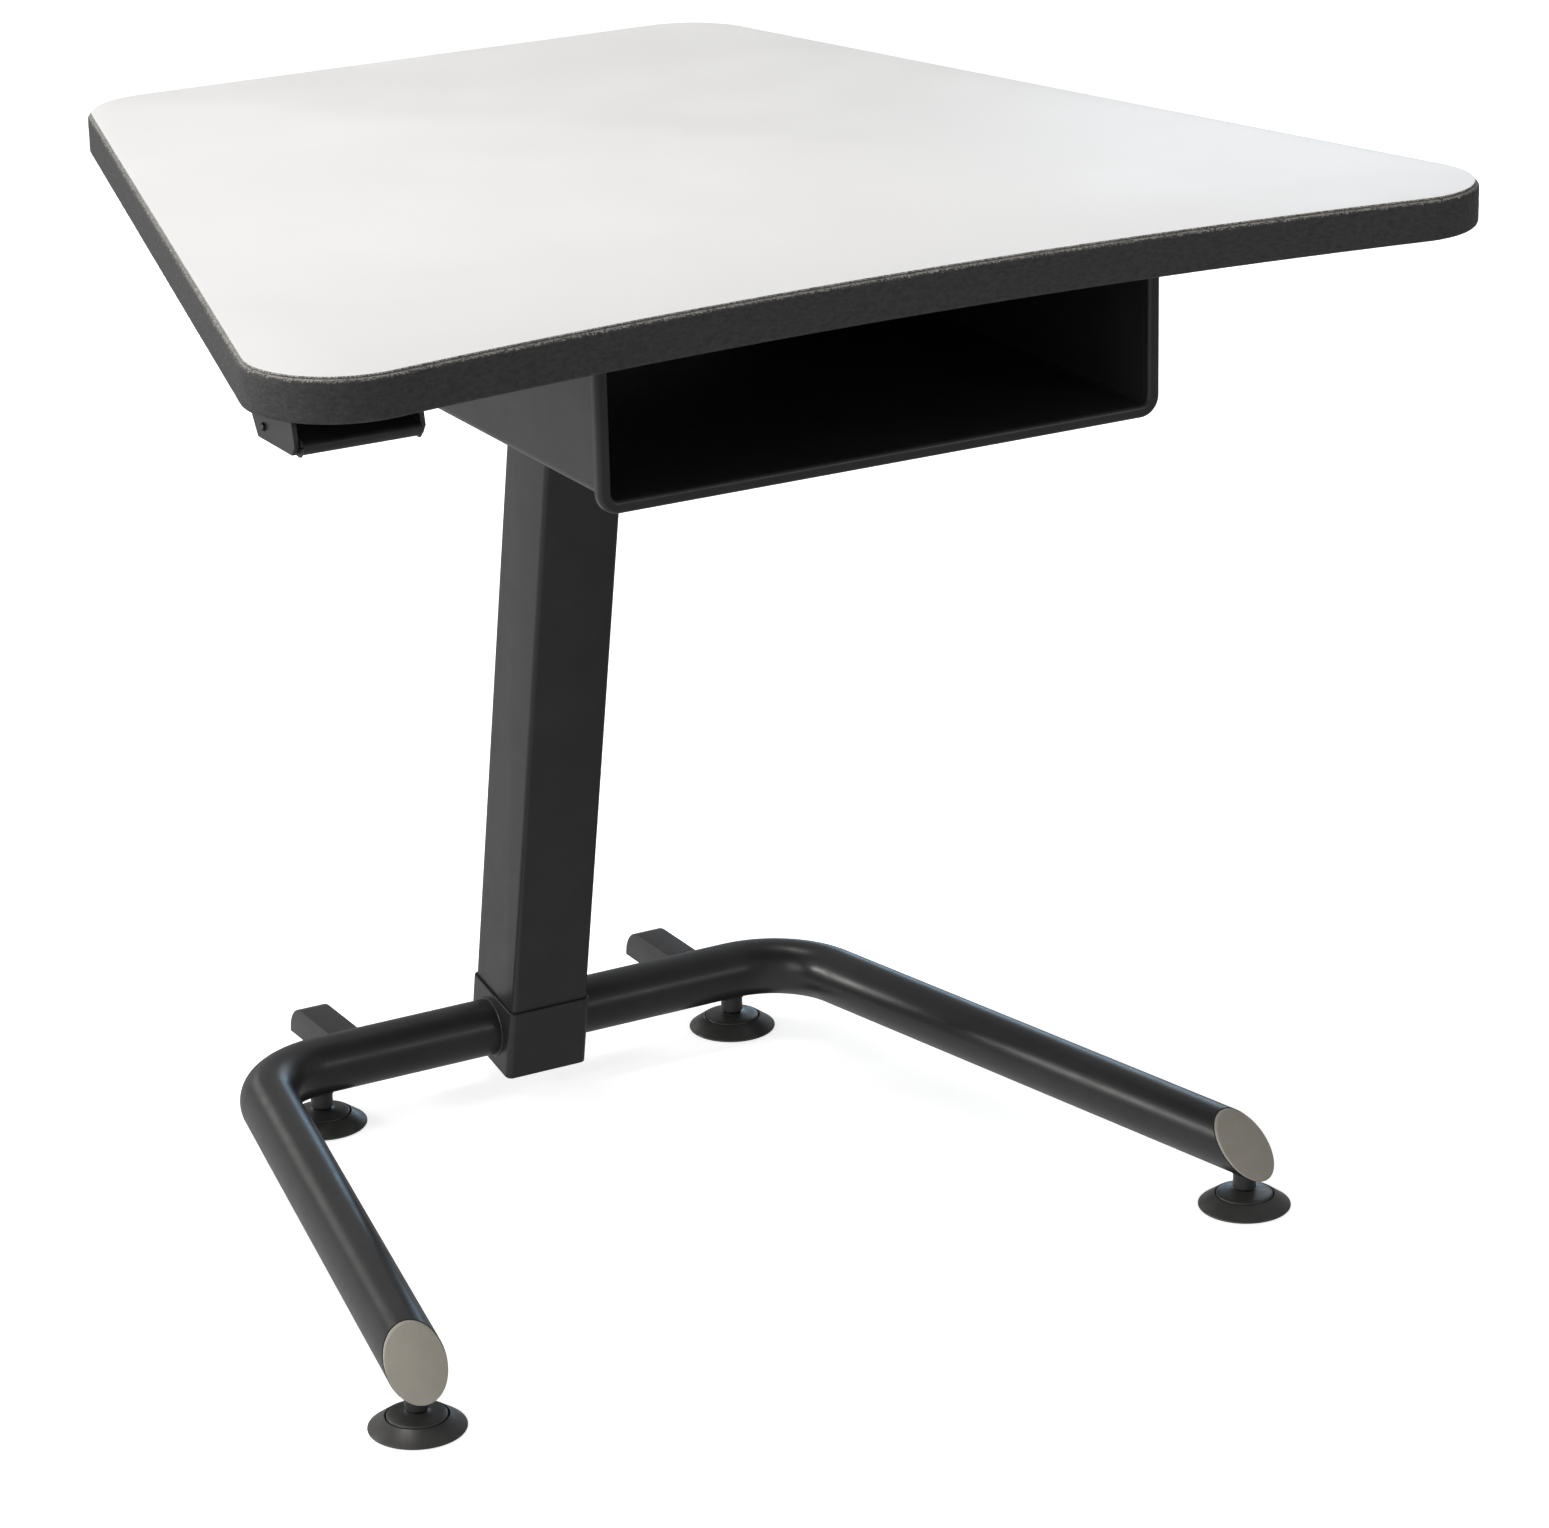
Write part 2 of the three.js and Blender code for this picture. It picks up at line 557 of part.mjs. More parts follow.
function buildLevellers() {
  const pad = [
    [0, 0], [PAD_R - 0.8, 0], [PAD_R, 1.0], [PAD_R - 0.4, 1.6], [21.6, 9.3], [20.9, 9.3],
    [20.9, 4], [7, 4], [7, 2], [0, 2],
  ];
  const cap = [
    [6.8, 4.3], [CAP_R, 4.3], [CAP_R, 9], [CAP_R - 0.8, 10.4], [CAP_R - 3, 11.2], [11, 11.8],
    [6.8, 11.8], [6.8, 4.3],
  ];
  const stem = [
    [0, 2.3], [3.9, 2.8], [5.8, 4.8], [6.1, 6.6], [STEM_R, 9], [STEM_R, STEM_TOP - 1],
    [STEM_R - 1, STEM_TOP], [0, STEM_TOP],
  ];
  const boss = [
    [STEM_R + GAP, BOSS_BOTTOM], [BOSS_R, BOSS_BOTTOM], [BOSS_R, BOSS_TOP],
    [STEM_R + GAP, BOSS_TOP], [STEM_R + GAP, BOSS_BOTTOM],
  ];
  for (const [where, x, y] of feet) {
    add(desk, `leveller_boss_${where}`, turned(boss, 16), powderCoat()).position.set(x, y, 0);
    add(desk, `leveller_stem_${where}`, turned(stem, 16), brightSteel()).position.set(x, y, 0);
    add(desk, `leveller_cap_${where}`, turned(cap, 24), blackPlastic()).position.set(x, y, 0);
    add(desk, `leveller_pad_${where}`, turned(pad, 28), blackPlastic()).position.set(x, y, 0);
  }
}

// ---- release paddle ---------------------------------------------------------------------------

function buildRelease() {
  const top = UNDERSIDE - GAP;
  const half = PADDLE_WIDTH / 2;
  const cheek = 3;
  const cheekShape = new THREE.Shape();
  cheekShape.moveTo(PIVOT_Y - 40, top);
  cheekShape.lineTo(PIVOT_Y - 43, PIVOT_Z - 2);
  cheekShape.lineTo(PIVOT_Y - 39, PIVOT_Z - 8);
  cheekShape.lineTo(PIVOT_Y + 9, PIVOT_Z - 8);
  cheekShape.lineTo(PIVOT_Y + 22, top);
  cheekShape.closePath();
  let bracket = solid(box(PADDLE_WIDTH + 9, 34, BOX_SHEET, PADDLE_X, PIVOT_Y + 5, top - BOX_SHEET / 2));
  for (const side of [-1, 1]) {
    const inside = PADDLE_X + side * (half + 1);
    const outside = PADDLE_X + side * (half + 1 + cheek);
    const plate = extrudeX(cheekShape, Math.min(inside, outside), Math.max(inside, outside));
    bracket = bracket.add(solid(plate));
  }
  const pinHole = rodX(PIN_R + GAP, 120, 12).translate(PADDLE_X, PIVOT_Y, PIVOT_Z);
  bracket = drillForScrews(bracket.subtract(solid(pinHole)), bracketScrews);
  add(desk, 'release_bracket', bracket, powderCoat());

  const pin = rodX(PIN_R, PADDLE_WIDTH + 12, 12).translate(PADDLE_X, PIVOT_Y, PIVOT_Z);
  add(desk, 'release_pin', pin, brightSteel());

  const blade = new THREE.Shape();
  blade.moveTo(PIVOT_Y + 7, PIVOT_Z + 5);
  blade.lineTo(PIVOT_Y - 18, PIVOT_Z + 5);
  blade.lineTo(PIVOT_Y - 30, PIVOT_Z + 3);
  blade.lineTo(PIVOT_Y - 46, PIVOT_Z);
  blade.lineTo(PIVOT_Y - 47, PIVOT_Z - 9);
  blade.lineTo(PIVOT_Y - 28, PIVOT_Z - 7);
  blade.lineTo(PIVOT_Y - 12, PIVOT_Z - 6);
  blade.lineTo(PIVOT_Y + 7, PIVOT_Z - 6);
  blade.closePath();
  const paddle = solid(extrudeX(blade, PADDLE_X - half, PADDLE_X + half)).subtract(solid(pinHole));
  add(desk, 'release_paddle', paddle, blackPlastic());

  const entryZ = TUBE_Z + CABLE_ENTRY_S * Math.cos(LEAN);
  const entryY = -CABLE_ENTRY_S * Math.sin(LEAN);
  const hung = UNDERSIDE - 7;
  const route = new THREE.CatmullRomCurve3([
    new THREE.Vector3(PADDLE_X, PIVOT_Y + 24, hung - 1), new THREE.Vector3(PADDLE_X, PIVOT_Y + 60, hung),
    new THREE.Vector3(-335, -420, hung), new THREE.Vector3(-290, -310, hung - 1),
    new THREE.Vector3(-225, -215, hung - 4), new THREE.Vector3(-140, -155, hung - 9),
    new THREE.Vector3(-70, entryY, entryZ), new THREE.Vector3(-15, entryY, entryZ),
  ]);
  const section = new THREE.Shape();
  section.absarc(0, 0, 2.5, 0, 2 * Math.PI, false);
  const sweep = { extrudePath: route, steps: 26, curveSegments: 4 };
  add(desk, 'release_cable', new THREE.ExtrudeGeometry(section, sweep), blackPlastic());
}

buildWorktop();
buildScrews();
buildBase();
buildHeelBars();
buildColumn();
buildHead();
buildBookBox();
buildLevellers();
buildRelease();

// The footprint's centre becomes the origin.
const extent = new THREE.Box3().setFromObject(desk);
desk.position.y = -(extent.min.y + extent.max.y) / 2;

export default desk;
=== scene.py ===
import math

import bmesh
import bpy
from mathutils import Matrix, Vector, noise


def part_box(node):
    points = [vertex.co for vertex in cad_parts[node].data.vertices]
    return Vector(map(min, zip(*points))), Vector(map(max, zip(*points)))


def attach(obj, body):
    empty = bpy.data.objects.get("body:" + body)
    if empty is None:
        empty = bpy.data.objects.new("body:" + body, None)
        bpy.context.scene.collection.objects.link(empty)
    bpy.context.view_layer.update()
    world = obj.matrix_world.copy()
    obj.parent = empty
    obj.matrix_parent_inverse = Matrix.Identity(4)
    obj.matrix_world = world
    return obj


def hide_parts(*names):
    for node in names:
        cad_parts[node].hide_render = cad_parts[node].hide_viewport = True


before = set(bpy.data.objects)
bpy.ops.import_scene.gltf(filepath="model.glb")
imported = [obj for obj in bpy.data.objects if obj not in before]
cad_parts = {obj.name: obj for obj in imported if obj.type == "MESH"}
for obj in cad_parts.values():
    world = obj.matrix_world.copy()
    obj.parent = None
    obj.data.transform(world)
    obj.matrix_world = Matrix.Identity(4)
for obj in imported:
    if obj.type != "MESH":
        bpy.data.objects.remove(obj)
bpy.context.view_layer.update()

# Lengths are millimetres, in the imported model's frame; finish_piece() turns them into metres.
MM = 0.001


def corners(node):
    low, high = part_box(node)
    return low / MM, high / MM


def middle(node):
    low, high = corners(node)
    return (low + high) / 2


# ---- places and sizes that come from the frame ------------------------------------------------

TUBE_LOW, TUBE_HIGH = corners("base_tube")
TUBE_R = (TUBE_HIGH.z - TUBE_LOW.z) / 2
TUBE_Z = (TUBE_HIGH.z + TUBE_LOW.z) / 2
BAR_Y = TUBE_HIGH.y - TUBE_R
BAND_LOW, BAND_HIGH = corners("edge_band")
TOP_Z = corners("worktop_laminate")[1].z
PAN_LOW, PAN_HIGH = corners("book_box_pan")
RIM_LOW, RIM_HIGH = corners("book_box_rim")
PADDLE_LOW, PADDLE_HIGH = corners("release_paddle")
PIN = middle("release_pin")
FEET = ("front_left", "front_right", "rear_left", "rear_right")

# ---- shapes that a box can't give -------------------------------------------------------------

# Worktop: widths between the sharp corners, the front edge's bow, and the corners' radius.
TOP_FRONT = 910.0
TOP_REAR = 500.0
TOP_SAG = 42.0
TOP_CORNER = 60.0
BAND_WALL = 3.5
BAND_BEVEL = 2.5
LAMINATE = 1.2
# How far under its face the laminate's sloping edge starts to take up overspray.
EDGE_DROP = 0.06

# Base: the crossbar's axis meets a leg's at CORNER_X, and a leg's axis runs LEG_LENGTH from there.
TUBE_WALL = 2.0
TUBE_SIDES = 72
CORNER_X = 223.8
SPLAY = math.radians(11.7)
BEND_R = 65.0
LEG_LENGTH = 487.0
END_SLANT = math.radians(44)
CAP_LIP = 2.0
BOSS_BORE_R = 5.3
GAP = 0.3

# Column: heights are along its own axis, from the crossbar's axis. What is cut away from it
# reaches COLUMN_REACH to each side.
LEAN = math.atan(0.2)
OUTER_SIZE = 62.0
COLUMN_WALL = 2.5
INNER_SIZE = 52.0
COLUMN_CORNER = 3.5
OUTER_BOTTOM = -28.0
OUTER_TOP = 585.0
INNER_BOTTOM = 50.0
BUSH_BOTTOM = OUTER_TOP - 40
COLLAR_SIZE = 66.0
COLLAR_HALF = 28.3
CABLE_ENTRY_S = 668.0
CABLE_ENTRY_R = 4.0
COLUMN_REACH = 60.0

GAS_ROD_R = 5.0
GAS_ROD_BOTTOM = 22.0
GAS_ROD_TOP = 500.0
CYLINDER_R = 13.5
CYLINDER_BORE = 11.0
CYLINDER_BOTTOM = 72.0
CYLINDER_TOP = 674.0

BOX_SHEET = 1.6
BOX_BEND = 5.0
BOX_FLANGE = 18.0
RIM_ROUND = 3.0

SCREW_HEAD = 2.6
SCREW_LENGTH = 16.0
THREAD_PITCH = 1.5

PAD_SEAT_R = 20.9
CAP_RIM_R = 20.3

PADDLE_EDGE = 1.2
PIN_R = 2.5
PIN_HOLE_R = 2.8
CABLE_R = 2.5

# A turned piece's profile stops just short of the axis, where a small flat face closes it.
NEAR_AXIS = 0.01
SIDES = ((-1, "left"), (1, "right"))

# In the column's own frame +Z runs up its axis from the crossbar's axis.
COLUMN = Matrix.Translation((0, BAR_Y, TUBE_Z)) @ Matrix.Rotation(LEAN, 4, "X")


# ---- materials --------------------------------------------------------------------------------


class Finish:
    """One procedural material: a Principled shader and the nodes that vary it over the surface."""

    def __init__(self, name, roughness, metallic=0.0, **constants):
        self.material = bpy.data.materials.new(name)
        self.material.use_nodes = True
        self.tree = self.material.node_tree
        self.shader = self.tree.nodes["Principled BSDF"]
        self.shader.inputs["Roughness"].default_value = roughness
        self.shader.inputs["Metallic"].default_value = metallic
        for socket, value in constants.items():
            self.shader.inputs[socket.replace("_", " ")].default_value = value
        self.place = self.node("ShaderNodeTexCoord").outputs["Object"]

    def node(self, kind, **settings):
        made = self.tree.nodes.new(kind)
        for name, value in settings.items():
            setattr(made, name, value)
        return made

    def link(self, source, target):
        self.tree.links.new(source, target)

    def noise(self, size_mm, detail=3.0, roughness=0.55, stretch=(1, 1, 1)):
        """A noise value from 0 to 1 whose features are about size_mm across."""
        mapping = self.node("ShaderNodeMapping")
        mapping.inputs["Scale"].default_value = stretch
        self.link(self.place, mapping.inputs["Vector"])
        texture = self.node("ShaderNodeTexNoise")
        texture.inputs["Scale"].default_value = 1 / (size_mm * MM)
        texture.inputs["Detail"].default_value = detail
        texture.inputs["Roughness"].default_value = roughness
        self.link(mapping.outputs["Vector"], texture.inputs["Vector"])
        return texture.outputs["Fac"]

    def cells(self, size_mm):
        """The distance to the middle of the nearest cell, for cells about size_mm across."""
        texture = self.node("ShaderNodeTexVoronoi")
        texture.inputs["Scale"].default_value = 1 / (size_mm * MM)
        self.link(self.place, texture.inputs["Vector"])
        return texture.outputs["Distance"]

    def ramp(self, value, low, high, at=(0.3, 0.7)):
        """Colours or greys spread over a value: low below at[0], high above at[1]."""
        made = self.node("ShaderNodeValToRGB")
        for element, place, colour in zip(made.color_ramp.elements, at, (low, high)):
            element.position = place
            rgb = colour if hasattr(colour, "__len__") else (colour,) * 3
            element.color = (*rgb, 1)
        self.link(value, made.inputs["Fac"])
        return made.outputs["Color"]

    def feed(self, source, target):
        """Links an output to a socket, or sets the socket to a number or a colour."""
        if hasattr(source, "is_output"):
            self.link(source, target)
        elif hasattr(source, "__len__"):
            target.default_value = (*source, 1)
        else:
            target.default_value = source

    def mix(self, factor, a, b):
        """Colour a where the factor is 0 and b where it is 1."""
        made = self.node("ShaderNodeMix", data_type="RGBA")
        self.link(factor, made.inputs["Factor"])
        # The node's colour sockets come after those for numbers and vectors.
        self.feed(a, made.inputs[6])
        self.feed(b, made.inputs[7])
        return made.outputs[2]

    def math(self, operation, a, b):
        made = self.node("ShaderNodeMath", operation=operation)
        self.feed(a, made.inputs[0])
        self.feed(b, made.inputs[1])
        return made.outputs[0]

    def height(self):
        """Height over the floor, in millimetres, at rest."""
        split = self.node("ShaderNodeSeparateXYZ")
        self.link(self.place, split.inputs[0])
        return self.math("DIVIDE", split.outputs["Z"], MM)

    def colour(self, source):
        self.link(source, self.shader.inputs["Base Color"])

    def gloss(self, source):
        self.link(source, self.shader.inputs["Roughness"])

    def bump(self, value, depth_mm, strength):
        """Adds relief of a depth, on top of any that is there already."""
        made = self.node("ShaderNodeBump")
        made.inputs["Distance"].default_value = depth_mm * MM
        made.inputs["Strength"].default_value = strength
        self.link(value, made.inputs["Height"])
        if self.shader.inputs["Normal"].is_linked:
            earlier = self.shader.inputs["Normal"].links[0].from_socket
            self.link(earlier, made.inputs["Normal"])
        self.link(made.outputs["Normal"], self.shader.inputs["Normal"])


def whiteboard():
    finish = Finish("whiteboard_laminate", 0.38, Specular_IOR_Level=0.45)
    cloud = finish.ramp(finish.noise(140, 2), (0.82, 0.82, 0.826), (0.845, 0.846, 0.85))
    # The sheet's edge, below its flat face, carries overspray from the band.
    edge = finish.math("LESS_THAN", finish.height(), TOP_Z - EDGE_DROP)
    spots = finish.ramp(finish.noise(0.9, 2), 0, 1, (0.46, 0.56))
    sprayed = finish.mix(spots, (0.10, 0.095, 0.09), (0.52, 0.51, 0.49))
    finish.colour(finish.mix(edge, cloud, sprayed))
    finish.gloss(finish.ramp(finish.noise(60, 4), 0.34, 0.42))
    finish.bump(finish.noise(1.6, 2), 0.01, 0.35)
    return finish.material


def sprayed_edge():
    finish = Finish("sprayed_edge_coat", 0.62, Specular_IOR_Level=0.5)
    grain = finish.noise(5.0, 5, 0.64, (1, 1, 2.4))
    body = finish.ramp(grain, (0.022, 0.022, 0.022), (0.044, 0.044, 0.044), (0.34, 0.66))
    # Pale flecks in the coat, more of them up the upper bevel: the flecks are real, and their
    # thickening towards the top is a painted highlight where the bevel catches light.
    bevel_z = BAND_HIGH.z - BAND_BEVEL
    rise = finish.math("SUBTRACT", finish.height(), bevel_z)
    # Painted highlight: the chance of a pale fleck rises towards the top of the bevel.
    painted_highlight_rise = finish.math("MULTIPLY", finish.math("DIVIDE", rise, BAND_BEVEL), 0.30)
    fleck = finish.math("ADD", finish.noise(1.5, 3, 0.75), painted_highlight_rise)
    pale_flecks_and_highlight = finish.ramp(fleck, 0, 1, (0.66, 0.72))
    tan = finish.ramp(finish.noise(9, 2), (0.20, 0.19, 0.175), (0.33, 0.32, 0.30))
    finish.colour(finish.mix(pale_flecks_and_highlight, body, tan))
    finish.gloss(finish.ramp(finish.noise(2.0, 3), 0.5, 0.75))
    finish.bump(grain, 0.8, 0.85)
    finish.bump(finish.cells(1.9), 0.24, 0.6)
    return finish.material


def powder_coat():
    finish = Finish("satin_black_powder_coat", 0.29, Specular_IOR_Level=0.42)
    shade = 0.023
    light = tuple(shade * c for c in (1.16, 1.17, 1.2))
    dark = tuple(shade * c for c in (0.9, 0.9, 0.92))
    finish.colour(finish.ramp(finish.noise(38, 3), dark, light))
    finish.gloss(finish.ramp(finish.noise(17, 4), 0.29, 0.36))
    finish.bump(finish.noise(2.8, 2, 0.5), 0.02, 0.25)
    return finish.material


def moulded(name, dark, light, gloss, grain_mm=0.9, relief=0.02):
    """Moulded plastic, its colour and gloss each between two values, with a fine grain."""
    finish = Finish(name, gloss[0], Specular_IOR_Level=0.5)
    finish.colour(finish.ramp(finish.noise(11, 3), dark, light))
    finish.gloss(finish.ramp(finish.noise(5, 3), *gloss))
    finish.bump(finish.noise(grain_mm, 2), relief, 0.5)
    return finish.material


def steel(name, dark, light, gloss, lines=(1, 1, 14)):
    """Bare or plated steel. lines squeezes its marks, by default into fine level rings."""
    finish = Finish(name, gloss[0], 1.0)
    finish.colour(finish.ramp(finish.noise(6, 4, 0.6), dark, light))
    finish.gloss(finish.ramp(finish.noise(1.5, 3, 0.6, lines), *gloss))
    finish.bump(finish.noise(0.6, 2, 0.5, lines), 0.01, 0.4)
    return finish.material


def fibreboard():
    finish = Finish("fibreboard", 0.85)
    fibres = finish.noise(1.4, 5, 0.7, (1, 1, 3))
    finish.colour(finish.ramp(fibres, (0.30, 0.20, 0.11), (0.50, 0.37, 0.23)))
    finish.bump(fibres, 0.08, 0.6)
    return finish.material


def backing_sheet():
    finish = Finish("phenolic_backing", 0.6)
    finish.colour(finish.ramp(finish.noise(25, 4), (0.035, 0.030, 0.026), (0.055, 0.048, 0.041)))
    finish.gloss(finish.ramp(finish.noise(8, 3), 0.5, 0.66))
    finish.bump(finish.noise(0.8, 2), 0.02, 0.4)
    return finish.material


WHITE = whiteboard()
EDGE = sprayed_edge()
COAT = powder_coat()
FOOT = moulded("foot_plastic", (0.040, 0.040, 0.039), (0.052, 0.051, 0.049), (0.30, 0.40))
NYLON = moulded("black_nylon", (0.013, 0.013, 0.014), (0.022, 0.022, 0.023), (0.38, 0.52), 1.2, 0.04)
CAP = moulded("end_cap_plastic", (0.385, 0.358, 0.305), (0.425, 0.396, 0.34), (0.42, 0.5))
JACKET = moulded("cable_jacket", (0.012, 0.012, 0.012), (0.02, 0.02, 0.02), (0.42, 0.55))
ZINC = steel("zinc_plate", (0.42, 0.43, 0.45), (0.60, 0.61, 0.62), (0.26, 0.40))
THREAD = steel("dark_zinc", (0.06, 0.06, 0.062), (0.10, 0.10, 0.105), (0.32, 0.45), (1, 1, 1))
CHROME = steel("hard_chrome", (0.58, 0.58, 0.59), (0.66, 0.66, 0.67), (0.09, 0.15))
BOARD = fibreboard()
BACKING = backing_sheet()


# ---- mesh making ------------------------------------------------------------------------------


def finish_piece(name, bm, finish, body, stands_for=(), move=None, sharp=math.radians(32)):
    """The bmesh, in millimetres, becomes a piece of the object that rides on a body."""
    if move is not None:
        bmesh.ops.transform(bm, matrix=move, verts=bm.verts)
    bmesh.ops.remove_doubles(bm, verts=bm.verts, dist=0.001)
    bmesh.ops.recalc_face_normals(bm, faces=bm.faces)
    mesh = bpy.data.meshes.new(name)
    bm.to_mesh(mesh)
    bm.free()
    mesh.transform(Matrix.Scale(MM, 4))
    mesh.shade_smooth()
    mesh.set_sharp_from_angle(angle=sharp)
    mesh.materials.append(finish)
    thing = bpy.data.objects.new(name, mesh)
    bpy.context.scene.collection.objects.link(thing)
    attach(thing, body)
    if stands_for:
        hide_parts(*stands_for)


def skin(rows, close_rows=False, close_columns=True):
    """A closed surface that joins rows of points. Ends that aren't joined round get a flat face."""
    bm = bmesh.new()
    made = [[bm.verts.new(p) for p in row] for row in rows]
    count, width = len(made), len(made[0])
    for i in range(count if close_rows else count - 1):
        for j in range(width if close_columns else width - 1):
            k, m = (i + 1) % count, (j + 1) % width
            bm.faces.new((made[i][j], made[i][m], made[k][m], made[k][j]))
    if not close_rows:
        bm.faces.new(made[0])
        bm.faces.new(made[-1])
    if not close_columns:
        bm.faces.new([row[0] for row in made])
        bm.faces.new([row[-1] for row in made])
    return bm


def soften(bm, width, angle, segments):
    """Rounds each edge whose faces meet at more than an angle."""
    edges = [e for e in bm.edges if len(e.link_faces) == 2 and e.calc_face_angle(0) > angle]
    bmesh.ops.bevel(bm, geom=edges, offset=width, segments=segments, profile=0.6, affect="EDGES")


def rounded_path(points, radius, closed, steps):
    """A polyline with every bend rounded: [(point, normal to its right)], all in one plane."""
    radii = radius if hasattr(radius, "__len__") else [radius] * len(points)
    corners_2d = [Vector(p) for p in points]
    count = len(corners_2d)
    path = []
    for i, corner in enumerate(corners_2d):
        if not closed and i in (0, count - 1):
            other = corners_2d[1] if i == 0 else corners_2d[-2]
            along = (other - corner if i == 0 else corner - other).normalized()
            path.append((corner, Vector((along.y, -along.x))))
            continue
        into = (corner - corners_2d[i - 1]).normalized()
        out = (corners_2d[(i + 1) % count] - corner).normalized()
        turn = math.atan2(into.x * out.y - into.y * out.x, into.dot(out))
        side = math.copysign(1, turn)
        normal = Vector((into.y, -into.x))
        trim = radii[i] * math.tan(abs(turn) / 2)
        centre = corner - into * trim - normal * radii[i] * side
        for step in range(steps + 1):
            n = normal.copy()
            n.rotate(Matrix.Rotation(turn * step / steps, 2))
            path.append((centre + n * radii[i] * side, n))
    return path


def offset_rows(path, profile):
    """One row per (inset, height) of the profile: the path moved inwards and lifted."""
    return [[Vector((*(p - n * inset), height)) for p, n in path] for inset, height in profile]


def square_path(size, radius):
    half = size / 2
    return rounded_path([(half, -half), (half, half), (-half, half), (-half, -half)], radius, True, 8)


def around(count):
    """Evenly spaced angles, once round."""
    return [2 * math.pi * i / count for i in range(count)]


def lathe(profile, at=Vector(), segments=48, closed=False):
    """Turns (radius, height) pairs about a vertical axis. An open profile starts and ends near it."""
    rows = [[at + Vector((r * math.cos(a), r * math.sin(a), z)) for a in around(segments)]
            for r, z in profile]
    return skin(rows, close_rows=closed)


def bar_along_x(stations, y, z, sides):
    """A round bar along the X direction through (y, z), from its (x, radius) stations."""
    rows = [[Vector((x, y + r * math.cos(a), z + r * math.sin(a))) for a in around(sides)]
            for x, r in stations]
    return skin(rows)


def arc(centre, radius, start, end, steps):
    """Points on an arc, with the angles in degrees."""
    angles = [math.radians(start + (end - start) * i / steps) for i in range(steps + 1)]
    return [(centre[0] + radius * math.cos(a), centre[1] + radius * math.sin(a)) for a in angles]


def tube_rows(points, radius, sides, closed=False):
    """Rings of points round a path, each turned as little as possible from the one before."""
    count = len(points)
    tangents = []
    for i, point in enumerate(points):
        before = points[i - 1] if closed or i else point
        after = points[(i + 1) % count] if closed or i < count - 1 else point
        tangents.append((after - before).normalized())
    across = tangents[0].orthogonal().normalized()
    ring = around(sides)
    rows = []
    for i, (point, tangent) in enumerate(zip(points, tangents)):
        across = (across - tangent * across.dot(tangent)).normalized()
        up = tangent.cross(across)
        r = radius(i) if callable(radius) else radius
        rows.append([point + across * r * math.cos(a) + up * r * math.sin(a) for a in ring])
    return rows


def weld(name, points, radius, body, closed=True):
    """A small rippled weld bead along a path."""

    def ripple(i):
        return radius * (1 + 0.12 * math.sin(i * 1.9) + 0.08 * noise.noise(points[i] / 3))

    bm = skin(tube_rows(points, ripple, 10, closed), close_rows=closed)
    finish_piece(name, bm, COAT, body)


def cut_away(bm, tool):
    """A new bmesh: the first without what the tool covers. Both of the given ones are freed."""
    objects = []
    for part in (bm, tool):
        bmesh.ops.recalc_face_normals(part, faces=part.faces)
        mesh = bpy.data.meshes.new("cutting")
        part.to_mesh(mesh)
        part.free()
        made = bpy.data.objects.new("cutting", mesh)
        bpy.context.scene.collection.objects.link(made)
        objects.append(made)
    boolean = objects[0].modifiers.new("cut", "BOOLEAN")
    boolean.object = objects[1]
    boolean.solver = "EXACT"
    left = bmesh.new()
    left.from_object(objects[0], bpy.context.evaluated_depsgraph_get())
    for made in objects:
        bpy.data.objects.remove(made)
    return left


def crossbar_tool(half_length, y=0.0, z=0.0):
    """The crossbar with its clearance, to cut away from what saddles it."""
    r = TUBE_R + GAP
    return bar_along_x([(-half_length, r), (half_length, r)], y, z, 96)


# ---- camera, floor and light ------------------------------------------------------------------


# A long lens, for a sensor 36 mm wide.
CAMERA_LENS = 119.99
CAMERA_PLACE = Vector((-1562.7, -3218.0 + BAR_Y, 1547.5))
# It looks towards +Y, turned to the right by the yaw and down by the pitch, then rolled.
CAMERA_YAW = math.radians(28.91)
CAMERA_PITCH = math.radians(20.05)
CAMERA_ROLL = math.radians(-1.25)


def camera():
    data = bpy.data.cameras.new("camera")
    data.lens = CAMERA_LENS
    data.sensor_width = 36
    data.clip_end = 100
    thing = bpy.data.objects.new("camera", data)
    yaw, pitch, roll = CAMERA_YAW, CAMERA_PITCH, CAMERA_ROLL
    forward = Vector(
        (math.sin(yaw) * math.cos(pitch), math.cos(yaw) * math.cos(pitch), -math.sin(pitch))
    )
    right = Vector((math.cos(yaw), -math.sin(yaw), 0))
    up = right.cross(forward)
    tilted_right = right * math.cos(roll) + up * math.sin(roll)
    tilted_up = up * math.cos(roll) - right * math.sin(roll)
    axes = Matrix((tilted_right, tilted_up, -forward)).transposed().to_4x4()
    thing.matrix_world = Matrix.Translation(CAMERA_PLACE * MM) @ axes
    bpy.context.scene.collection.objects.link(thing)
    bpy.context.scene.camera = thing


def softbox(name, place, aim, width, height, power, colour=(1, 1, 1)):
    """A rectangular light that faces its aim, with places and sides in metres and power in watts."""
    data = bpy.data.lights.new(name, "AREA")
    data.shape = "RECTANGLE"
    data.size, data.size_y = width, height
    data.energy = power
    data.color = colour
    thing = bpy.data.objects.new(name, data)
    thing.location = place
    thing.rotation_mode = "QUATERNION"
    thing.rotation_quaternion = (Vector(aim) - Vector(place)).to_track_quat("-Z", "Y")
    bpy.context.scene.collection.objects.link(thing)


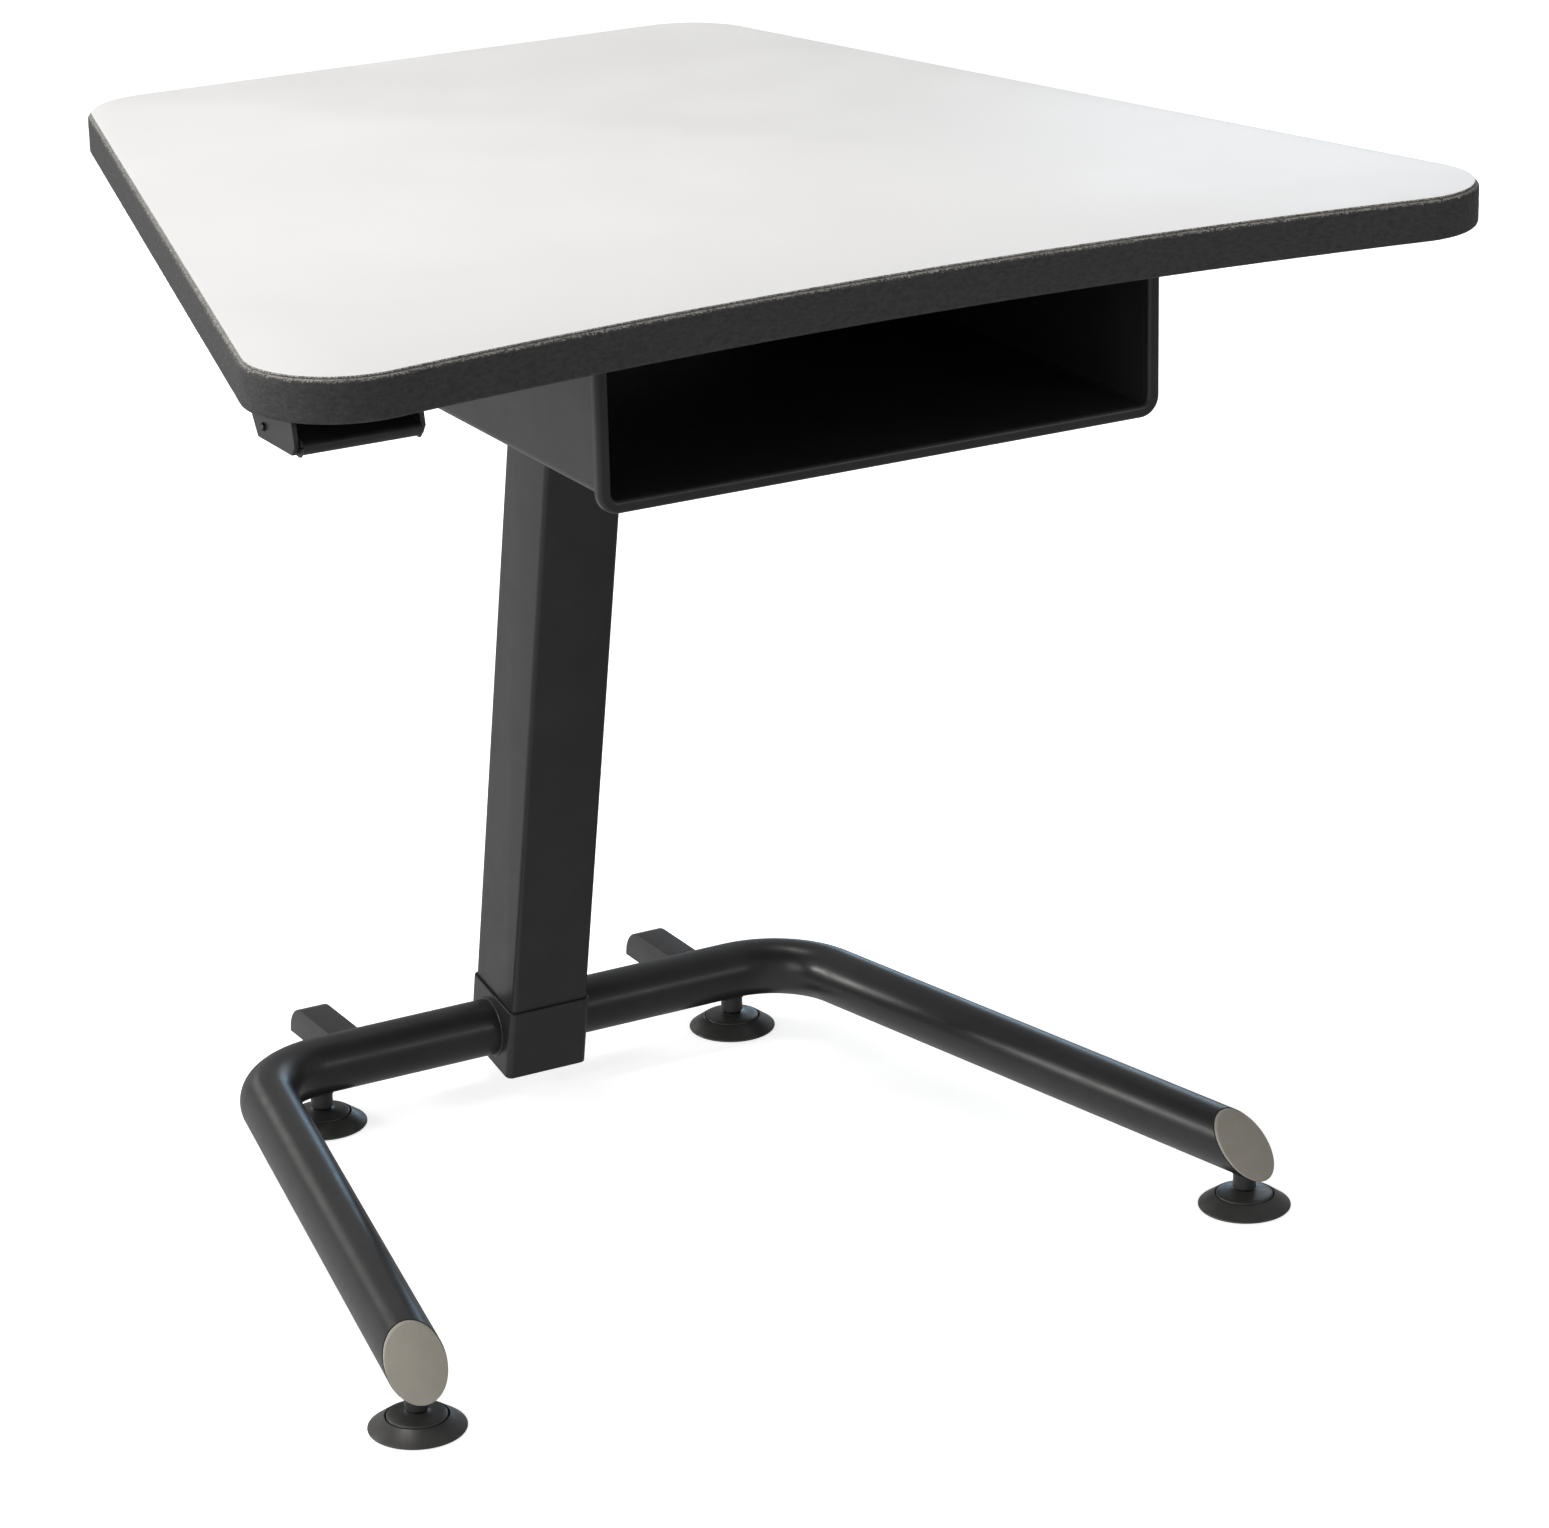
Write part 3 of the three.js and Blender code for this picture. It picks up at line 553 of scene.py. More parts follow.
def surroundings():
    """A dim studio, brighter low on the left, where the left faces mirror it."""
    world = bpy.data.worlds.new("studio")
    world.use_nodes = True
    tree = world.node_tree
    place = tree.nodes.new("ShaderNodeTexCoord")
    towards = tree.nodes.new("ShaderNodeVectorMath")
    towards.operation = "DOT_PRODUCT"
    towards.inputs[1].default_value = Vector((-0.85, 0.10, -0.52)).normalized()
    ramp = tree.nodes.new("ShaderNodeMapRange")
    ramp.interpolation_type = "SMOOTHSTEP"
    for socket, value in (("From Min", -0.1), ("From Max", 0.65), ("To Min", 0.33), ("To Max", 0.68)):
        ramp.inputs[socket].default_value = value
    tree.links.new(place.outputs["Generated"], towards.inputs[0])
    tree.links.new(towards.outputs["Value"], ramp.inputs["Value"])
    tree.links.new(ramp.outputs["Result"], tree.nodes["Background"].inputs["Strength"])
    tree.nodes["Background"].inputs["Color"].default_value = (1, 1, 1, 1)
    bpy.context.scene.world = world


# In metres. The floor lies just under the pads, so that their undersides don't coincide with it.
BACKDROP_REACH = 14.0
BACKDROP_HEIGHT = 12.0
FLOOR_DROP = 0.0005


def build_backdrop():
    """A pale floor and a far round wall, both bright enough to read as white."""
    pale = Finish("pale_backdrop", 0.9, Specular_IOR_Level=0.1, Emission_Strength=0.72)
    pale.shader.inputs["Emission Color"].default_value = (1, 1, 1, 1)
    pale.colour(pale.ramp(pale.noise(900, 2), (0.88, 0.88, 0.88), (0.90, 0.90, 0.90)))
    circle = [Vector((math.cos(a), math.sin(a), 0)) * BACKDROP_REACH for a in around(64)]
    for name in ("floor", "wall"):
        bm = bmesh.new()
        ring = [bm.verts.new(p - Vector((0, 0, FLOOR_DROP))) for p in circle]
        if name == "floor":
            bm.faces.new(ring)
        else:
            upper = [bm.verts.new(p + Vector((0, 0, BACKDROP_HEIGHT))) for p in circle]
            for i in range(len(ring)):
                bm.faces.new((ring[i], ring[i - 1], upper[i - 1], upper[i]))
        mesh = bpy.data.meshes.new(name)
        bm.to_mesh(mesh)
        bm.free()
        mesh.materials.append(pale.material)
        thing = bpy.data.objects.new(name, mesh)
        # Neither throws light back on to the desk.
        thing.visible_diffuse = False
        thing.visible_glossy = False
        thing.visible_shadow = name == "floor"
        bpy.context.scene.collection.objects.link(thing)


def studio():
    bpy.context.scene.view_settings.view_transform = "Standard"
    surroundings()
    build_backdrop()
    softbox("overhead", (-0.6, 0.7, 3.6), (0, 0, 0.4), 2.2, 1.4, 66, (1.0, 0.98, 0.95))
    softbox("left_side", (-3.4, -0.4, 1.4), (0, 0, 0.5), 2.0, 1.6, 28, (1.0, 0.99, 0.97))
    softbox("right_side", (2.6, 2.4, 1.6), (0, 0, 0.2), 1.2, 1.2, 7, (0.78, 0.89, 1.0))
    # Low strips, each where one of the tubes mirrors it towards the camera.
    softbox("back_strip", (-0.35, 3.6, 1.35), (0, 0, 0.1), 0.9, 0.4, 3.5, (1.0, 0.97, 0.93))
    softbox("back_left_strip", (-2.7, 2.2, 1.3), (0, 0, 0.1), 0.9, 0.4, 28, (1.0, 0.98, 0.96))
    softbox("low_blue", (2.2, 2.7, 0.55), (0, 0, 0.1), 0.8, 0.4, 4, (0.42, 0.74, 1.0))
    softbox("front_right_strip", (1.8, -3.2, 1.4), (0, 0, 0.1), 0.9, 0.4, 7)


# ---- worktop ----------------------------------------------------------------------------------


def worktop_corners(rear_y, depth):
    """The sides' slant, the front bow's radius and centre, and the centres of the right corners.

    The depth runs from the rear edge to the sharp front corners, which the rounding takes off.
    """
    tilt = math.atan2((TOP_FRONT - TOP_REAR) / 2, depth)
    bow_r = (TOP_FRONT**2 / 4 + TOP_SAG**2) / (2 * TOP_SAG)
    bow_centre = Vector((0, rear_y - depth + TOP_SAG - bow_r))
    outward = Vector((math.cos(tilt), math.sin(tilt)))
    along = Vector((outward.y, -outward.x))
    start = Vector((TOP_REAR / 2, rear_y)) - outward * TOP_CORNER
    rear = start + along * ((rear_y - TOP_CORNER - start.y) / along.y)
    # The front corner's centre is where the side's inner line meets a circle outside the bow.
    to_bow = start - bow_centre
    b = to_bow.dot(along)
    c = to_bow.length_squared - (bow_r + TOP_CORNER) ** 2
    front = start + along * (-b - math.sqrt(b * b - c))
    return tilt, bow_r, bow_centre, rear, front


def worktop_depth(box_depth):
    """The depth to the sharp front corners that gives the outline a box of this depth."""
    low, high = box_depth, box_depth + TOP_CORNER
    for _ in range(40):
        depth = (low + high) / 2
        front = worktop_corners(0, depth)[-1]
        if TOP_CORNER - front.y < box_depth:
            low = depth
        else:
            high = depth
    return (low + high) / 2


def mirrored(point):
    return Vector((-point.x, point.y))


def worktop_path(spacing):
    """[(point, outward normal)] round the worktop, with straight and round stretches in even steps."""
    depth = worktop_depth(BAND_HIGH.y - BAND_LOW.y)
    tilt, bow_r, bow_centre, rear, front = worktop_corners(BAND_HIGH.y, depth)
    meet = math.atan2(bow_centre.y - front.y, -front.x) + 2 * math.pi
    # Each round stretch: centre, radius, first and last angle, and -1 where it is hollow.
    stretches = [
        (rear, TOP_CORNER, tilt, math.pi / 2, 1),
        (mirrored(rear), TOP_CORNER, math.pi / 2, math.pi - tilt, 1),
        (mirrored(front), TOP_CORNER, math.pi - tilt, 3 * math.pi - meet, 1),
        (bow_centre, bow_r, 2 * math.pi - meet, meet - math.pi, -1),
        (front, TOP_CORNER, meet, 2 * math.pi + tilt, 1),
    ]
    path = []
    for centre, radius, begin, end, side in stretches:
        steps = max(16, round(abs(end - begin) * radius / spacing))
        bend = []
        for i in range(steps + 1):
            a = begin + (end - begin) * i / steps
            ray = Vector((math.cos(a), math.sin(a)))
            bend.append((centre + ray * radius, ray * side))
        if path:
            extend_straight(path, bend[0], spacing)
        path.extend(bend if not path else bend[1:])
    extend_straight(path, path[0], spacing)
    path.pop()
    return path


def extend_straight(path, target, spacing):
    """Carries the path on in a straight line to the target, unless it is there already."""
    last, normal = path[-1]
    length = (target[0] - last).length
    if length < 0.01:
        return
    steps = max(1, round(length / spacing))
    for i in range(1, steps + 1):
        path.append((last.lerp(target[0], i / steps), normal))


def leathery(rows, path, amount):
    """Sinks the points of the band's outer face unevenly, in lumps a few millimetres across."""
    moved = []
    for row in rows:
        line = []
        for point, (_, n) in zip(row, path):
            lump = noise.noise(point / 4.5) + 0.6 * noise.noise(point / 2.1)
            line.append(point - Vector((n.x, n.y, 0)) * amount * (0.5 + 0.5 * lump))
        moved.append(line)
    return moved


def build_edge_band():
    low, high = BAND_LOW.z, BAND_HIGH.z
    path = worktop_path(2.2)
    face_steps = 9
    climb = (high - low - 2 * BAND_BEVEL) / face_steps
    # Round the lower edge, up the face, and over the flatter upper bevel.
    outer = [(BAND_BEVEL, low), (1.5, low + 0.35), (0.6, low + 1.1), (0.1, low + 2.1)]
    outer += [(0, low + BAND_BEVEL + climb * i) for i in range(face_steps + 1)]
    outer += [(0.25, high - 1.9), (0.9, high - 1.1), (1.7, high - 0.4), (BAND_BEVEL, high)]
    rows = leathery(offset_rows(path, outer), path, 0.28)
    rows += offset_rows(path, [(BAND_WALL, high), (BAND_WALL, low)])
    bm = skin(rows, close_rows=True)
    finish_piece("worktop_edge_band", bm, EDGE, "carriage", ["edge_band"],
                 sharp=math.radians(50))


def build_white_face():
    bottom = TOP_Z - LAMINATE
    sheet = [(BAND_BEVEL + 0.2, bottom), (BAND_BEVEL, bottom + 0.2), (BAND_BEVEL, TOP_Z - 0.7),
             (BAND_BEVEL + 0.15, TOP_Z - 0.3), (BAND_BEVEL + 0.45, TOP_Z - EDGE_DROP),
             (BAND_BEVEL + 0.7, TOP_Z)]
    bm = skin(offset_rows(worktop_path(24), sheet))
    finish_piece("worktop_white_face", bm, WHITE, "carriage", ["worktop_laminate"])


# ---- screws -----------------------------------------------------------------------------------


def thread(core_r, crest_r, start, turns, flank, flat):
    """A thread's profile as separate ridges, each with two flanks and a flat crest."""
    profile = []
    for turn in range(turns):
        z = start + turn * THREAD_PITCH
        profile += [(core_r, z), (crest_r, z + flank), (crest_r, z + flank + flat),
                    (core_r, z + 2 * flank + flat)]
    return profile


def screw_mesh():
    """A pan-head screw about the Z axis, head down, with its seat at height 0."""
    head = [(NEAR_AXIS, -SCREW_HEAD), (1.6, -SCREW_HEAD)]
    head += arc((3.0, 1.4 - SCREW_HEAD), 1.4, -90, 0, 6) + [(4.5, -0.5), (4.55, 0)]
    shank = [(2.3, 0), (2.0, 0.6)] + thread(1.65, 2.2, 1.2, 9, 0.45, 0.15)
    bm = lathe(head + shank + [(NEAR_AXIS, SCREW_LENGTH)], segments=40)
    # The recess is a cross. Each arm is shorter and narrower at its bottom than at its mouth.
    square = [(-1, -1), (1, -1), (1, 1), (-1, 1)]
    levels = [(1.2, 0.35, -1.2), (2.3, 0.55, -3)]
    for quarter in (0, math.pi / 2):
        spin = Matrix.Rotation(quarter, 4, "Z")
        rows = [[spin @ Vector((x * half_length, y * half_width, z)) for x, y in square]
                for half_length, half_width, z in levels]
        bm = cut_away(bm, skin(rows))
    return bm


def build_screws():
    master = screw_mesh()
    for node in sorted(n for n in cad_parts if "_screw_" in n):
        low, _ = corners(node)
        centre = middle(node)
        seat = Vector((centre.x, centre.y, low.z + SCREW_HEAD))
        finish_piece(f"{node}_piece", master.copy(), ZINC, "carriage", [node],
                     Matrix.Translation(seat))
    master.free()


# ---- base -------------------------------------------------------------------------------------


def base_path(end_length):
    """The U's centre line from the left leg's end to the right one's, with normals in its plane."""
    leg = Vector((math.sin(SPLAY), -math.cos(SPLAY)))
    end = Vector((CORNER_X, 0)) + leg * end_length
    points = [(-end.x, end.y), (-CORNER_X, 0), (CORNER_X, 0), tuple(end)]
    path = rounded_path(points, BEND_R, False, 28)
    return [(p + Vector((0, BAR_Y)), n) for p, n in path]


def tube_ring(point, normal, radius, slide):
    """One ring of the tube. slide moves each point along the leg so that the end is cut at a slant."""
    along = Vector((-normal.y, normal.x))
    ring = []
    for a in around(TUBE_SIDES):
        out, up = radius * math.cos(a), radius * math.sin(a)
        flat = point + normal * out + along * slide * up
        ring.append(Vector((flat.x, flat.y, TUBE_Z + up)))
    return ring


def build_base_tube():
    lip = (CAP_LIP + GAP) / math.cos(END_SLANT)
    path = base_path(LEG_LENGTH - lip)
    slant = math.tan(END_SLANT)
    slides = [slant] + [0] * (len(path) - 2) + [-slant]

    def rings(radius):
        return [tube_ring(p, n, radius, s) for (p, n), s in zip(path, slides)]

    outer, inner = rings(TUBE_R), rings(TUBE_R - TUBE_WALL)
    # The cut ends are eased on the outside.
    eased = [tube_ring(*path[i], TUBE_R - 0.35, slides[i]) for i in (0, -1)]
    shell = [inner[0], eased[0]] + outer + [eased[1], inner[-1]] + inner[-2:0:-1]
    bm = skin(shell, close_rows=True)
    finish_piece("base_tube_piece", bm, COAT, "base", ["base_tube"],
                 sharp=math.radians(40))


def build_end_cap(side, word):
    """A moulded cap: a flat lip over the slanted end and a plug inside the tube."""
    slant = math.tan(END_SLANT)
    leg = Vector((side * math.sin(SPLAY), -math.cos(SPLAY)))
    normal = Vector((-leg.y, leg.x))
    corner = Vector((side * CORNER_X, BAR_Y))

    def ring(back, radius):
        centre = corner + leg * (LEG_LENGTH - back)
        made = []
        for a in around(TUBE_SIDES):
            out, up = radius * math.cos(a), radius * math.sin(a)
            flat = centre + normal * out - leg * slant * up
            made.append(Vector((flat.x, flat.y, TUBE_Z + up)))
        return made

    lip = CAP_LIP / math.cos(END_SLANT)
    plug_length = 4
    lip_r, plug_r = TUBE_R - 0.5, TUBE_R - TUBE_WALL - GAP
    rows = [ring(0, lip_r - 0.9), ring(0.25, lip_r - 0.3), ring(0.9, lip_r), ring(lip, lip_r),
            ring(lip, plug_r), ring(lip + plug_length, plug_r - 0.2)]
    bm = skin(rows)
    finish_piece(f"end_cap_{word}", bm, CAP, "base", [f"leg_end_cap_{word}"])


def build_heel_bar(word):
    """A short square bar whose upper rear edge is rounded over almost its whole height."""
    low, high = corners(f"heel_bar_{word}")
    size = high.x - low.x
    front = BAR_Y + 2
    outline = [(front, low.z), (high.y, low.z), (high.y, high.z), (front, high.z)]
    path = rounded_path(outline, [0.01, 0.9, size - 1.2, 0.01], True, 14)
    bm = skin([[Vector((x, p.x, p.y)) for p, _ in path] for x in (low.x, high.x)])
    bmesh.ops.remove_doubles(bm, verts=bm.verts, dist=0.05)
    bmesh.ops.recalc_face_normals(bm, faces=bm.faces)
    soften(bm, 0.9, math.radians(50), 3)
    past_both_bars = 400
    bm = cut_away(bm, crossbar_tool(past_both_bars, BAR_Y, TUBE_Z))
    finish_piece(f"heel_bar_{word}_piece", bm, COAT, "base", [f"heel_bar_{word}"])

    # The bead follows the saddle up one side, over the top and down the other, a millimetre a step.
    half = size / 2
    sides = range(2, int(size) - 1)
    spots = [(-half, low.z + t) for t in sides]
    spots += [(t - half, high.z) for t in range(1, int(size))]
    spots += [(half, high.z - t) for t in sides]
    middle_x = (low.x + high.x) / 2
    line = []
    for x, z in spots:
        reach = math.sqrt(max(TUBE_R**2 - (z - TUBE_Z) ** 2, 0))
        line.append(Vector((middle_x + x, BAR_Y + reach + GAP, z)))
    weld(f"heel_weld_{word}", line, 1.3, "base", closed=False)


def build_boss(where):
    """A threaded boss under the tube, and the bead round it, which follows the tube's underside."""
    node = f"leveller_boss_{where}"
    low, high = corners(node)
    at = middle(node)
    r, bore = (high.x - low.x) / 2, BOSS_BORE_R
    profile = [(bore, low.z + 0.5), (bore + 0.5, low.z), (r - 0.7, low.z), (r, low.z + 0.7),
               (r, high.z), (bore, high.z)]
    bm = lathe(profile, Vector((at.x, at.y, 0)), closed=True)
    finish_piece(f"boss_{where}", bm, COAT, "base", [node])
    # The front bosses are under the splayed legs and the rear ones under the crossbar.
    tilt = math.copysign(SPLAY, at.x) if where.startswith("front") else math.pi / 2
    across = Vector((math.cos(tilt), math.sin(tilt), 0))
    line = []
    for a in around(60):
        spot = Vector((r * math.cos(a), r * math.sin(a), 0))
        drop = math.sqrt(TUBE_R**2 - spot.dot(across) ** 2)
        line.append(Vector((at.x, at.y, TUBE_Z - drop)) + spot)
    weld(f"boss_weld_{where}", line, 1.1, "base")


# ---- column -----------------------------------------------------------------------------------


def square_tube(size, corner_r, wall, bottom, top, ease=0.35):
    """An upright square tube with eased ends."""
    profile = [(ease, bottom), (0, bottom + ease), (0, top - ease), (ease, top),
               (wall - ease / 2, top), (wall, top - ease / 2),
               (wall, bottom + ease / 2), (wall - ease / 2, bottom)]
    return skin(offset_rows(square_path(size, corner_r), profile), close_rows=True)


def build_outer_column():
    bm = square_tube(OUTER_SIZE, COLUMN_CORNER, COLUMN_WALL, OUTER_BOTTOM, OUTER_TOP)
    bm = cut_away(bm, crossbar_tool(COLUMN_REACH))
    finish_piece("outer_column_piece", bm, COAT, "base", ["outer_column"], COLUMN)


def build_base_collar():
    """The collar round the column's foot, welded to the crossbar on both sides."""
    thickness = (COLLAR_SIZE - OUTER_SIZE) / 2 - GAP
    bm = square_tube(COLLAR_SIZE, COLUMN_CORNER + 1.5, thickness, -COLLAR_HALF, COLLAR_HALF, 0.6)
    bm = cut_away(bm, crossbar_tool(COLUMN_REACH))
    finish_piece("base_collar_piece", bm, COAT, "base", ["base_collar"], COLUMN)
    bead_r = TUBE_R + 0.2
    for side, word in SIDES:
        x = side * (COLLAR_SIZE / 2 + 0.2)
        line = [COLUMN @ Vector((x, bead_r * math.cos(a), bead_r * math.sin(a))) for a in around(96)]
        weld(f"collar_weld_{word}", line, 1.2, "base")


def build_inner_column():
    """It is cut off level at its top, and its left wall has the release cable's hole."""
    level = corners("inner_column")[1].z - TUBE_Z
    top = level / math.cos(LEAN) + 30
    bm = square_tube(INNER_SIZE, COLUMN_CORNER, COLUMN_WALL, INNER_BOTTOM, top)
    far = 300
    block = [(-far, -far), (far, -far), (far, far), (-far, far)]
    upright = Matrix.Rotation(-LEAN, 4, "X")
    above = skin([[upright @ Vector((x, y, z)) for x, y in block] for z in (level, level + far)])
    bm = cut_away(bm, above)
    wall_x = -INNER_SIZE / 2
    through = [(wall_x - 14, CABLE_ENTRY_R), (wall_x + 10, CABLE_ENTRY_R)]
    bm = cut_away(bm, bar_along_x(through, 0, CABLE_ENTRY_S, 32))
    finish_piece("inner_column_piece", bm, COAT, "carriage", ["inner_column"], COLUMN)


def build_guide_bush():
    """A liner inside the outer tube, with a lip over the tube's end."""
    lip_size = OUTER_SIZE - 0.5
    # How far the liner's outside and the bore lie inside the lip's outline.
    liner = (lip_size - (OUTER_SIZE - 2 * COLUMN_WALL - 2 * GAP)) / 2
    bore = (lip_size - (INNER_SIZE + 2 * GAP)) / 2
    top = OUTER_TOP + 4
    profile = [(liner, BUSH_BOTTOM), (liner, OUTER_TOP + GAP), (0, OUTER_TOP + GAP), (0, top - 1),
               (0.9, top), (bore - 0.4, top), (bore, top - 0.4), (bore, BUSH_BOTTOM)]
    bm = skin(offset_rows(square_path(lip_size, COLUMN_CORNER), profile), close_rows=True)
    finish_piece("guide_bush", bm, NYLON, "base", ["column_guide_bush"], COLUMN)


def build_gas_rod():
    r, bottom, top = GAS_ROD_R, GAS_ROD_BOTTOM, GAS_ROD_TOP
    profile = [(NEAR_AXIS, bottom), (r - 0.8, bottom), (r, bottom + 0.8), (r, top - 1), (r - 1, top),
               (NEAR_AXIS, top)]
    bm = lathe(profile, segments=40)
    finish_piece("gas_rod", bm, CHROME, "base", ["gas_spring_rod"], COLUMN)


def build_gas_cylinder():
    r, bottom, top = CYLINDER_R, CYLINDER_BOTTOM, CYLINDER_TOP
    rod_hole, bore_bottom, bore_top = GAS_ROD_R + GAP, bottom + 14, top - 10
    # Down the outside, with a groove near the mouth, then up the bore.
    profile = [(NEAR_AXIS, top), (r - 2, top), (r, top - 2), (r, bottom + 10.6), (r - 0.4, bottom + 10),
               (r - 0.4, bottom + 8.6), (r, bottom + 8), (r, bottom + 1), (r - 1, bottom),
               (rod_hole, bottom), (rod_hole, bore_bottom), (CYLINDER_BORE, bore_bottom),
               (CYLINDER_BORE, bore_top), (NEAR_AXIS, bore_top)]
    bm = lathe(profile)
    finish_piece("gas_cylinder", bm, COAT, "carriage", ["gas_spring_cylinder"], COLUMN)


# ---- book box ---------------------------------------------------------------------------------


def book_box_path(half, bottom, top, radius, steps):
    """A U seen from the front, from its top right corner down and round to its top left one."""
    points = [(half, top), (half, bottom), (-half, bottom), (-half, top)]
    return rounded_path(points, radius, False, steps)


def build_book_box_pan():
    """One folded sheet: a flange, a wall, the floor, the other wall and its flange."""
    top, bottom = PAN_HIGH.z, PAN_LOW.z
    # The sheet runs on under the rim's rounded rear edge.
    front, rear = RIM_HIGH.y - RIM_ROUND + 0.2, PAN_HIGH.y
    flange = PAN_HIGH.x
    half = flange - BOX_FLANGE
    under = top - BOX_SHEET
    # The sheet's outer skin: along a flange's underside, down the wall, round and up again.
    outline = [(flange, under), (half, under), (half, bottom), (-half, bottom), (-half, under),
               (-flange, under)]
    bend = BOX_BEND + BOX_SHEET
    outer = rounded_path(outline, [0, 0.6, bend, bend, 0.6, 0], False, 8)
    ease = 0.25
    profile = [(ease, front), (0, front + ease), (0, rear - ease), (ease, rear),
               (BOX_SHEET - ease, rear), (BOX_SHEET, rear - ease), (BOX_SHEET, front + ease),
               (BOX_SHEET - ease, front)]
    # Going clockwise seen from the front, the normal to the path's right points into the box.
    rows = [[Vector((p.x + n.x * inset, y, p.y + n.y * inset)) for p, n in outer]
            for inset, y in profile]
    bm = skin(rows, close_rows=True, close_columns=False)
    finish_piece("book_box_shell", bm, COAT, "carriage", ["book_box_pan"])


def build_book_box_back():
    """The back closes the pan's rear end, a little inside its outer skin."""
    inset = 0.4
    half = PAN_HIGH.x - BOX_FLANGE - inset
    radius = BOX_BEND + BOX_SHEET - inset
    path = book_box_path(half, PAN_LOW.z + inset, PAN_HIGH.z, radius, 8)
    rear = PAN_HIGH.y
    bm = skin([[Vector((p.x, y, p.y)) for p, _ in path] for y in (rear - BOX_SHEET, rear)])
    finish_piece("book_box_back", bm, COAT, "carriage")


def build_book_box_rim():
    """A thick rounded edge round the mouth, flush with the pan's inside."""
    front, depth = RIM_LOW.y, RIM_HIGH.y - RIM_LOW.y
    width = RIM_HIGH.x - (PAN_HIGH.x - BOX_FLANGE - BOX_SHEET)
    path = book_box_path(RIM_HIGH.x, RIM_LOW.z, RIM_HIGH.z, BOX_BEND + width, 14)
    r = RIM_ROUND
    section = (arc((r, r), r, 270, 180, 6) + arc((r, depth - r), r, 180, 90, 6)
               + arc((width - r, depth - r), r, 90, 0, 6) + arc((width - r, r), r, 0, -90, 6))
    rows = [[Vector((p.x + n.x * inset, front + y, p.y + n.y * inset)) for p, n in path]
            for inset, y in section]
    bm = skin(rows, close_rows=True, close_columns=False)
    finish_piece("book_box_mouth_rim", bm, COAT, "carriage", ["book_box_rim"])


# ---- levellers --------------------------------------------------------------------------------


def build_pad(where, at, pad_r):
    """A flared foot, with a seat for its cap and a socket for the stem's ball."""
    r = PAD_SEAT_R
    seat, socket, socket_r = 4, 2, 7
    profile = [(NEAR_AXIS, 0), (pad_r - 1.2, 0)] + arc((pad_r - 1.0, 1.0), 1.0, -70, 50, 6)
    profile += [(r + 1.3, 9.0), (r + 0.8, 9.3), (r + 0.25, 9.1), (r, 8.6), (r, seat + 0.2),
                (r - 0.2, seat), (socket_r, seat), (socket_r, socket + 0.2),
                (socket_r - 0.2, socket), (NEAR_AXIS, socket)]
    bm = lathe(profile, at, 72)
    finish_piece(f"pad_{where}", bm, FOOT, f"pad_{where}", [f"leveller_pad_{where}"])


def build_pad_cap(where, at):
    """A domed ring over the seat, which rises to a collar round the stem."""
    r = CAP_RIM_R
    rim = [(6.9, 4.3), (r - 0.3, 4.3), (r, 4.6), (r, 8.9)] + arc((r - 1.4, 9.0), 1.4, 0, 75, 5)
    dome = [(16, 10.85), (12.5, 11.35), (10.2, 11.8), (8.6, 12.2), (7.6, 12.6), (7.05, 12.95)]
    mouth = [(6.5, 13.0), (6.2, 12.7), (6.2, 9), (6.9, 6.6)]
    bm = lathe(rim + dome + mouth, at, 64, closed=True)
    finish_piece(f"cap_{where}", bm, FOOT, f"pad_{where}", [f"leveller_cap_{where}"])


def build_stem(where, at):
    """A ball end, a neck and a thread."""
    top = corners(f"leveller_stem_{where}")[1].z
    ball = [(NEAR_AXIS, 2.3), (3.9, 2.8), (5.4, 4.2), (6.0, 5.6), (6.0, 6.8), (5.3, 8.2), (4.6, 9.2)]
    first = 9.8
    turns = math.ceil((top - 1 - first) / THREAD_PITCH - 1)
    end = [(4.3, top - 0.4), (3.8, top), (NEAR_AXIS, top)]
    bm = lathe(ball + thread(4.35, 4.95, first, turns, 0.5, 0.25) + end, at, 40)
    finish_piece(f"stem_{where}", bm, THREAD, f"stem_{where}",
                 [f"leveller_stem_{where}"])


def build_leveller(where):
    low, high = corners(f"leveller_pad_{where}")
    at = middle(f"leveller_pad_{where}")
    at.z = 0
    build_pad(where, at, (high.x - low.x) / 2)
    build_pad_cap(where, at)
    build_stem(where, at)


# ---- release paddle and its cable -------------------------------------------------------------


def build_paddle():
    """The blade, drawn from the side about its pin, with its ends eased and the pin's hole cut."""
    centre_x = (PADDLE_LOW.x + PADDLE_HIGH.x) / 2
    outline = [(7, -6), (7, 5), (-18, 5), (-30, 3), (-46, 0), (-47, -9), (-28, -7), (-12, -6)]
    points = [(PIN.y + a, PIN.z + b) for a, b in outline]
    path = rounded_path(points[::-1], [1.5, 6, 6, 3.5, 3, 8, 8, 1.5], True, 6)
    half, edge = (PADDLE_HIGH.x - PADDLE_LOW.x) / 2, PADDLE_EDGE
    slices = [(-half, -edge), (-half + edge / 3, -edge / 3), (-half + edge, 0)]
    slices += [(-x, grow) for x, grow in reversed(slices)]
    rows = [[Vector((centre_x + x, p.x + n.x * grow, p.y + n.y * grow)) for p, n in path]
            for x, grow in slices]
    bm = skin(rows)
    past_ends = half + 12
    through = [(centre_x - past_ends, PIN_HOLE_R), (centre_x + past_ends, PIN_HOLE_R)]
    bm = cut_away(bm, bar_along_x(through, PIN.y, PIN.z, 32))
    finish_piece("paddle_blade", bm, NYLON, "paddle", ["release_paddle"])


